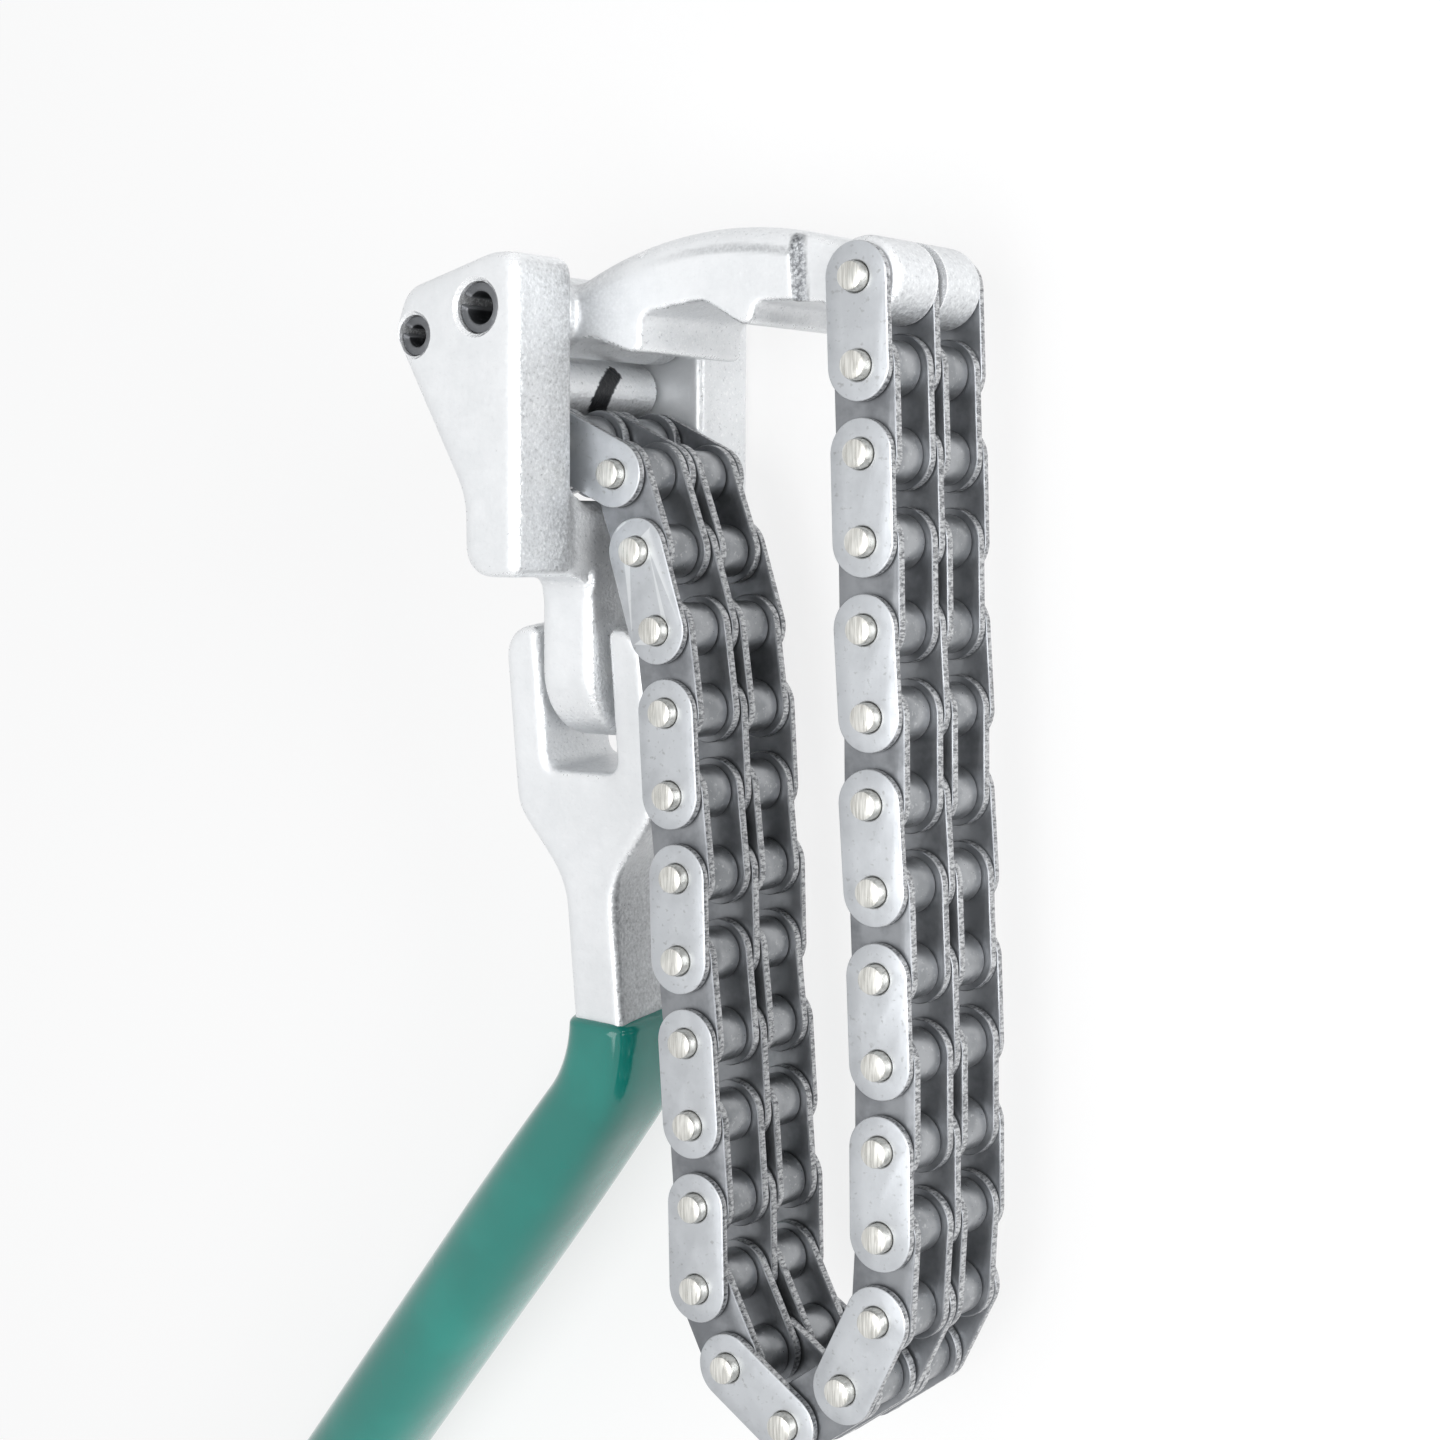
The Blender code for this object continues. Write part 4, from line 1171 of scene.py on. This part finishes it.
@dataclass
class Chain:
    """Duplex roller chain of 28 links, each made by a node tree and then a plain mesh."""

    sizes: ChainSizes = field(default_factory=ChainSizes)
    first: Point = (43.21, 2.18)
    angles: tuple[float, ...] = (
        -87.5, -87.5, -87.9, -88.5, -85.9, -89.1, -85.7, -87.1, -87.3, -89.2, -89.0, -92.9, -116.4, -143.7,
        -212.8, -242.2, -268.5, -265.2, -265.7, -263.6, -268.1, -263.7, -266.3, -261.8, -252.0, -249.5,
        -204.6, -164.8,
    )
    plate_sides: int = 56
    round_sides: int = 40

    def pins(self) -> list[Vector]:
        """Centre of every pin at rest."""
        places = [Vector(self.first)]
        for degrees in self.angles:
            angle = math.radians(degrees)
            places.append(places[-1] + self.sizes.pitch * Vector((math.cos(angle), math.sin(angle))))
        return places

    def loft(self, bench: Bench, sides: int, pitch: Any, stations: Sequence[tuple[Any, Any]]) -> Any:
        """Closed solid through round or stadium-shaped stations.

        Args:
            bench: Bench of the tree.
            sides: Points round each station, a multiple of four.
            pitch: Distance between the two centres of the stadium, 0 for a round bar.
            stations: (radius, height) of each station, from the lowest up.

        Returns:
            The geometry's socket.
        """
        circle = bench.out("GeometryNodeMeshCircle", {"Vertices": sides, "Radius": 1.0}, fill_type="NGON")
        turn = bench.vector(0.0, 0.0, math.pi / sides)
        circle = bench.out("GeometryNodeTransform", {"Geometry": circle, "Rotation": turn})
        parts = bench.node("ShaderNodeSeparateXYZ", {0: bench.out("GeometryNodeInputPosition")})
        x, y = (Field(bench, parts.outputs[index]) for index in (0, 1))
        spread = bench.vector(x.do("GREATER_THAN", 0.0) * pitch, 0.0, 0.0)
        circle = bench.out("GeometryNodeSetPosition", {"Geometry": circle, "Offset": spread})
        spine = x.do("GREATER_THAN", bench.number(pitch) * 0.5) * pitch
        across = x - spine
        length = (across * across + y * y).do("SQRT")
        cos, sin = across / length, y / length

        def ring(geometry: Any, radius: Any, height: Any, chosen: Any) -> Any:
            """Moves the chosen points to a station."""
            target = bench.vector(spine + cos * radius, sin * radius, height)
            inputs = {"Geometry": geometry, "Position": target}
            if chosen is not None:
                inputs["Selection"] = chosen
            return bench.out("GeometryNodeSetPosition", inputs)

        body = ring(circle, *stations[0], None)
        cap = bench.out("GeometryNodeFlipFaces", {"Mesh": body})
        chosen = None
        for radius, height in stations[1:]:
            inputs = {"Mesh": body, "Offset Scale": 0.0, "Individual": False}
            if chosen is not None:
                inputs["Selection"] = chosen
            grown = bench.node("GeometryNodeExtrudeMesh", inputs, mode="FACES")
            chosen = grown.outputs["Top"]
            body = ring(grown.outputs["Mesh"], radius, height, chosen)
        both = bench.joined((body, cap))
        return bench.out("GeometryNodeMergeByDistance", {"Geometry": both, "Distance": 0.0005})

    def stations(self, radius: Field, half: Field, edge: Field) -> list[tuple[Any, Any]]:
        """Stations of a bar or plate with rounded rims."""
        turns = [math.radians(30.0 * index) for index in range(4)]
        return mirrored([
            (radius - edge * (1.0 - math.sin(turn)), edge * (1.0 - math.cos(turn)) - half) for turn in turns
        ])

    def plate(self, bench: Bench, sizes: dict[str, Field], thickness: Field, hole: Field) -> Any:
        """One plate along +X with two countersunk holes, its faces and edges in their finishes."""
        half = thickness * 0.5
        pitch = sizes["pitch"]
        stations = self.stations(sizes["plate_radius"], half, sizes["plate_edge"])
        body = self.loft(bench, self.plate_sides, pitch, stations)
        sink = sizes["plate_edge"] * 0.7
        countersunk = mirrored([(hole + sink * 2.0, -half - sink), (hole, sink - half)])
        cutter = self.loft(bench, self.round_sides, 0.0, countersunk)
        shift = bench.vector(pitch, 0.0, 0.0)
        other = bench.out("GeometryNodeTransform", {"Geometry": cutter, "Translation": shift})
        cut = bench.minus(body, (cutter, other))
        normal = bench.out("GeometryNodeInputNormal")
        up = bench.field("ShaderNodeSeparateXYZ", {0: normal}, 2).do("ABSOLUTE")
        return bench.paint(bench.paint(cut, PLATE), PLATE_EDGE, Selection=up.do("LESS_THAN", 0.35))

    def pin(self, bench: Bench, sizes: dict[str, Field]) -> Any:
        """One pin with chamfered, slightly domed ends."""
        radius, half, chamfer = sizes["pin_radius"], sizes["pin_half"], sizes["pin_chamfer"]
        profile = mirrored([
            (radius * 0.35, -half), (radius - chamfer, 0.06 - half),
            (radius - chamfer * 0.35, chamfer * 0.45 - half), (radius, chamfer + 0.1 - half),
        ])
        return bench.paint(self.loft(bench, self.round_sides, 0.0, profile), PIN_END)

    def tube(self, bench: Bench, outer: Field, inner: Field, half: Field, edge: Any) -> Any:
        """Round tube with rounded rims."""
        stations = self.stations(outer, half, bench.number(edge))
        body = self.loft(bench, self.round_sides, 0.0, stations)
        hole = self.loft(bench, self.round_sides, 0.0, mirrored([(inner, -half - 1.0)]))
        return bench.paint(bench.minus(body, (hole,)), ROLLER)

    def tree(self, kind: LinkKind) -> bpy.types.NodeTree:
        """Builds the node tree of one kind of link, its sizes as named inputs."""
        bench, sizes = self.sizes.open_tree(f"{kind.value}_link_tree")
        along = bench.vector(sizes["pitch"], 0.0, 0.0)
        rest = (0.0, 0.0, 0.0)
        bore = sizes["pin_radius"] + sizes["hole_gap"]
        bush_radius = sizes["bush_radius"]
        if kind is LinkKind.OUTER:
            plate = self.plate(bench, sizes, sizes["outer_thickness"], bore)
            plates = bench.both_sides(plate, sizes["outer_height"])
            middle = self.plate(bench, sizes, sizes["middle_thickness"], bore)
            pins = bench.repeat(self.pin(bench, sizes), rest, along)
            whole = bench.joined((plates, middle, pins))
        else:
            plate = self.plate(bench, sizes, sizes["inner_thickness"], bush_radius + 0.02)
            plates = bench.both_sides(plate, sizes["inner_height"])
            roller = self.tube(
                bench, sizes["roller_radius"], bush_radius + 0.08, sizes["roller_half"], 0.35
            )
            bush = self.tube(bench, bush_radius, bore, sizes["bush_half"], 0.12)
            rollers = bench.repeat(bench.joined((roller, bush)), rest, along)
            whole = bench.both_sides(bench.joined((plates, rollers)), sizes["strand_offset"])
        real = bench.out("GeometryNodeRealizeInstances", {"Geometry": whole})
        bench.node("NodeGroupOutput", {0: real})
        return bench.tree

    def build(self) -> None:
        """Makes every link where it hangs."""
        trees = {kind: self.tree(kind) for kind in LinkKind}
        pins = self.pins()
        for number, degrees in enumerate(self.angles, start=1):
            kind = LinkKind.OUTER if number % 2 else LinkKind.INNER
            item = self.sizes.grow(f"chain_link_{number:02d}", trees[kind])
            turn = Matrix.Rotation(math.radians(degrees), 4, "Z")
            item.data.transform(Matrix.Translation((*pins[number - 1], 0.0)) @ turn)
            if kind is LinkKind.OUTER:
                nodes: tuple[str, ...] = (f"outer_link_{number:02d}",)
            else:
                nodes = (f"inner_link_{number:02d}_near", f"inner_link_{number:02d}_far")
            Piece(item, f"link_{number:02d}", nodes, Slot.CHAIN).settle(frame_place(), sharp=28.0)


@dataclass
class Handle(Forging):
    """Fork around the tongue, shank, and the flex pin through them."""

    half: float = 6.6
    centre: float = 1.2
    outer: float = 10.6
    top: float = -36.0
    slot_end: float = -53.6
    slot_side: float = 5.3
    shoulder: float = -58.5
    neck: float = -67.3
    shank_centre: float = 1.0
    shank_half: float = 3.75
    shank_end: float = -87.0
    pin_hole: float = 2.6
    pin_radius: float = 2.5
    voxel: float = 0.36

    def outline(self) -> list[Point]:
        """Front view of the fork and shank."""
        left, right = self.centre - self.outer, self.centre + self.outer
        slot_left, slot_right = self.centre - self.slot_side, self.centre + self.slot_side
        thin_left, thin_right = self.shank_centre - self.shank_half, self.shank_centre + self.shank_half
        return rounded((
            (left, self.top, 4.4), (left, self.shoulder, 6.0), (thin_left, self.neck, 10.0),
            (thin_left, self.shank_end, 0.0), (thin_right, self.shank_end, 0.0),
            (thin_right, self.neck, 10.0), (right, self.shoulder, 6.0), (right, self.top, 4.4),
            (slot_right, self.top, 1.2), (slot_right, self.slot_end, 1.6), (slot_left, self.slot_end, 1.6),
            (slot_left, self.top, 1.2),
        ), 7.0)

    def rawness(self, place: Vector, normal: Vector) -> float:
        """Painted shade along the shank's narrow sides."""
        return 0.50 * eased(abs(normal.x), 0.6, 0.95) * (1.0 - eased(place.y, -64.0, -56.0))

    def build(self) -> None:
        """Makes the fork with its shank, and the flex pin."""
        solid = Solid().slab(self.outline(), -self.half, self.half, rim=0.9)
        item = fused(solid.item("handle_forging"), self.voxel, 5)
        tools = Solid()
        hole = raised(bore_profile(self.pin_hole, self.outer, 0.4), self.centre)
        tools.turned(hole, (FLEX_Y, 0.0), 56, Axis.X)
        self.finish(item, tools, "handle", handle_place())
        profile = raised(pin_profile(self.pin_radius, self.outer - 0.3, 0.4), self.centre)
        pin = Solid().turned(profile, (FLEX_Y, 0.0), 48, Axis.X).item("fork_pin")
        Piece(dress(pin, PIN_END), "handle", ("flex_pin",), Slot.PIN).settle(handle_place())


@dataclass
class GripSizes(TreeSizes):
    """Sizes of the dipped grip."""

    start_x: float = 1.0
    start_y: float = -84.6
    corner_y: float = -91.5
    bend_degrees: float = 40.0
    bend_radius: float = 22.0
    length: float = 118.0
    thick: float = 6.5
    wide: float = 8.6
    neck_thick: float = 4.85
    neck_wide: float = 7.7
    swell: float = 42.0
    lip: float = 1.0
    end_round: float = 6.5


@dataclass
class Grip:
    """Dipped grip: an oval sleeve that follows the bent shank, grown by a node tree."""

    sizes: GripSizes = field(default_factory=GripSizes)
    around: int = 72
    along: int = 190

    def tree(self) -> bpy.types.NodeTree:
        """Builds the node tree that wraps a grid round the grip's centreline."""
        bench, s = self.sizes.open_tree("grip_tree")
        inputs = {"Size X": 1.0, "Size Y": 1.0, "Vertices X": self.along, "Vertices Y": self.around + 1}
        grid = bench.out("GeometryNodeMeshGrid", inputs)
        place = bench.node("ShaderNodeSeparateXYZ", {0: bench.out("GeometryNodeInputPosition")})
        share = Field(bench, place.outputs[0]) + 0.5
        angle = (Field(bench, place.outputs[1]) + 0.5) * (2 * math.pi)
        softened = (1.0 - (share * math.pi).do("COSINE")) * 0.5
        distance = (share * 0.35 + softened * 0.65) * s["length"]
        bend = s["bend_degrees"] * (math.pi / 180.0)
        tangent = s["bend_radius"] * (bend * 0.5).do("TANGENT")
        straight = s["start_y"] - s["corner_y"] - tangent
        turned = ((distance - straight) / s["bend_radius"]).held(0.0, bend)
        first = distance.do("MINIMUM", straight)
        last = (distance - straight - s["bend_radius"] * bend).do("MAXIMUM", 0.0)
        x = s["start_x"] - s["bend_radius"] * (1.0 - turned.do("COSINE")) - last * turned.do("SINE")
        y = s["start_y"] - first - s["bend_radius"] * turned.do("SINE") - last * turned.do("COSINE")
        swell = ((distance / s["swell"]).held(0.0, 1.0) * (math.pi / 2)).do("SINE")
        from_lip = 1.0 - (distance / s["lip"]).held(0.0, 1.0)
        lip = (1.0 - from_lip * from_lip).do("SQRT")
        from_end = 1.0 - ((s["length"] - distance) / s["end_round"]).held(0.0, 1.0)
        dome = (1.0 - from_end * from_end).do("MAXIMUM", 0.0004).do("SQRT")
        power = 0.45 + swell * 0.38

        def reach(turn: Field, name: str) -> Field:
            """Half of the oval's thickness or width, as far round as the turn says."""
            neck, full = s[f"neck_{name}"], s[name]
            half = (neck + (full - neck) * swell - (1.0 - lip) * 0.9) * dome
            return turn.do("SIGN") * turn.do("ABSOLUTE").do("POWER", power) * half

        across, up = reach(angle.do("COSINE"), "thick"), reach(angle.do("SINE"), "wide")
        target = bench.vector(x + across * turned.do("COSINE"), y - across * turned.do("SINE"), up)
        body = bench.out("GeometryNodeSetPosition", {"Geometry": grid, "Position": target})
        body = bench.out("GeometryNodeMergeByDistance", {"Geometry": body, "Distance": 0.002})
        real = bench.out("GeometryNodeRealizeInstances", {"Geometry": body})
        bench.node("NodeGroupOutput", {0: bench.paint(real, VINYL)})
        return bench.tree

    def build(self) -> None:
        """Grows the grip, closes its ends and turns its faces out."""
        item = self.sizes.grow("grip_sleeve", self.tree())
        mesh = bmesh.new()
        mesh.from_mesh(item.data)
        bmesh.ops.remove_doubles(mesh, verts=mesh.verts, dist=0.003)
        bmesh.ops.holes_fill(mesh, edges=[edge for edge in mesh.edges if edge.is_boundary], sides=0)
        bmesh.ops.recalc_face_normals(mesh, faces=mesh.faces)
        mesh.to_mesh(item.data)
        mesh.free()
        Piece(item, "handle", ("grip",), Slot.GRIP).settle(handle_place(), sharp=50.0)


@dataclass
class Studio:
    """Pale floor, soft light and the camera."""

    camera_place: Triple = (0.19757, -0.01271, 0.27123)
    camera_axes: tuple[Triple, ...] = (
        (0.81251, 0.00491, -0.58292), (-0.04538, 0.99746, -0.05485), (0.58118, 0.07102, 0.81067),
    )
    lens: float = 64.89
    sensor: float = 36.0
    floor_size: float = 6.0
    floor_drop: float = 0.0004
    floor_glow: float = 1.04
    floor_seen: float = 0.70
    floor_mirrored: float = 0.85
    ambient: float = 0.36
    aim: Triple = (0.02, -0.05, 0.02)
    lamps: tuple[tuple[str, Triple, float, float], ...] = (
        ("key", (0.12, -0.10, 0.62), 0.50, 2.2), ("side", (0.50, 0.00, 0.10), 0.42, 3.2),
    )

    @staticmethod
    def bare_tree(owner: bpy.types.Material | bpy.types.World) -> Bench:
        """Empties a material's or a world's node tree and returns its bench."""
        owner.use_nodes = True
        owner.node_tree.nodes.clear()
        return Bench(owner.node_tree)

    @staticmethod
    def rays(bench: Bench, *kinds: str) -> list[Field]:
        """Fields that are 1 for a ray of each kind, else 0."""
        path = bench.node("ShaderNodeLightPath")
        return [Field(bench, path.outputs[f"Is {kind} Ray"]) for kind in kinds]

    def floor(self) -> None:
        """A pale floor that keeps the object's shadow."""
        mesh = bmesh.new()
        bmesh.ops.create_grid(mesh, x_segments=1, y_segments=1, size=self.floor_size / 2)
        bmesh.ops.translate(mesh, verts=mesh.verts, vec=(0.0, 0.0, -self.floor_drop))
        item = Solid(mesh).item("floor")
        material = bpy.data.materials.new("pale_floor")
        bench = self.bare_tree(material)
        matt = bench.out("ShaderNodeBsdfDiffuse", {"Color": (0.90, 0.90, 0.90, 1.0)})
        lift = bench.out("ShaderNodeEmission", {"Color": (1.0, 1.0, 1.0, 1.0), "Strength": self.floor_glow})
        seen, mirrored_ray = self.rays(bench, "Camera", "Glossy")
        share = (seen * self.floor_seen).do("MAXIMUM", mirrored_ray * self.floor_mirrored)
        shader = bench.out("ShaderNodeMixShader", {0: share, 1: matt, 2: lift})
        bench.node("ShaderNodeOutputMaterial", {0: shader})
        item.data.materials.append(material)

    def lamp(self, name: str, place: Sequence[float], size: float, power: float) -> None:
        """A soft box that points at the object."""
        data = bpy.data.lights.new(name, "AREA")
        data.shape = "SQUARE"
        data.size = size
        data.energy = power
        item = placed(name, data)
        item.location = place
        item.rotation_euler = (Vector(self.aim) - Vector(place)).to_track_quat("-Z", "Y").to_euler()

    def world(self) -> None:
        """A pale world: even light on the object, white where it is seen or mirrored."""
        world = bpy.data.worlds.new("studio_world")
        bpy.context.scene.world = world
        bench = self.bare_tree(world)
        seen, mirrored_ray, through = self.rays(bench, "Camera", "Glossy", "Transmission")
        shown = seen.do("MAXIMUM", mirrored_ray).do("MAXIMUM", through)
        even, white = (
            bench.out("ShaderNodeBackground", {"Color": colour, "Strength": strength})
            for colour, strength in (((0.97, 0.98, 1.0, 1.0), self.ambient), ((1.0, 1.0, 1.0, 1.0), 1.0))
        )
        shader = bench.out("ShaderNodeMixShader", {0: shown, 1: even, 2: white})
        bench.node("ShaderNodeOutputWorld", {0: shader})

    def camera(self) -> None:
        """The camera at the photograph's angle."""
        data = bpy.data.cameras.new("camera")
        data.sensor_fit = "HORIZONTAL"
        data.sensor_width = self.sensor
        data.lens = self.lens
        data.clip_start = 0.01
        item = placed("camera", data)
        turn = Matrix(self.camera_axes).transposed().to_4x4()
        item.matrix_world = Matrix.Translation(self.camera_place) @ turn
        bpy.context.scene.camera = item

    def build(self) -> None:
        """Sets the floor, world, lamps, camera and view."""
        self.floor()
        self.world()
        for name, place, size, power in self.lamps:
            self.lamp(name, place, size, power)
        self.camera()
        bpy.context.scene.view_settings.view_transform = "Standard"


def main() -> None:
    """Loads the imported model, dresses every body and sets the studio."""
    logging.basicConfig(level=logging.INFO, format="%(name)s %(message)s")
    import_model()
    studio = Studio()
    studio.build()
    head = Head()
    chain = Chain()
    last = chain.pins()[-1]
    head.build()
    SpringPins().build(head)
    Arm().build(head.arm_hole)
    Anchor().build((last.x, last.y), chain.sizes)
    chain.build()
    Handle().build()
    Grip().build()


if __name__ == "__main__":
    main()
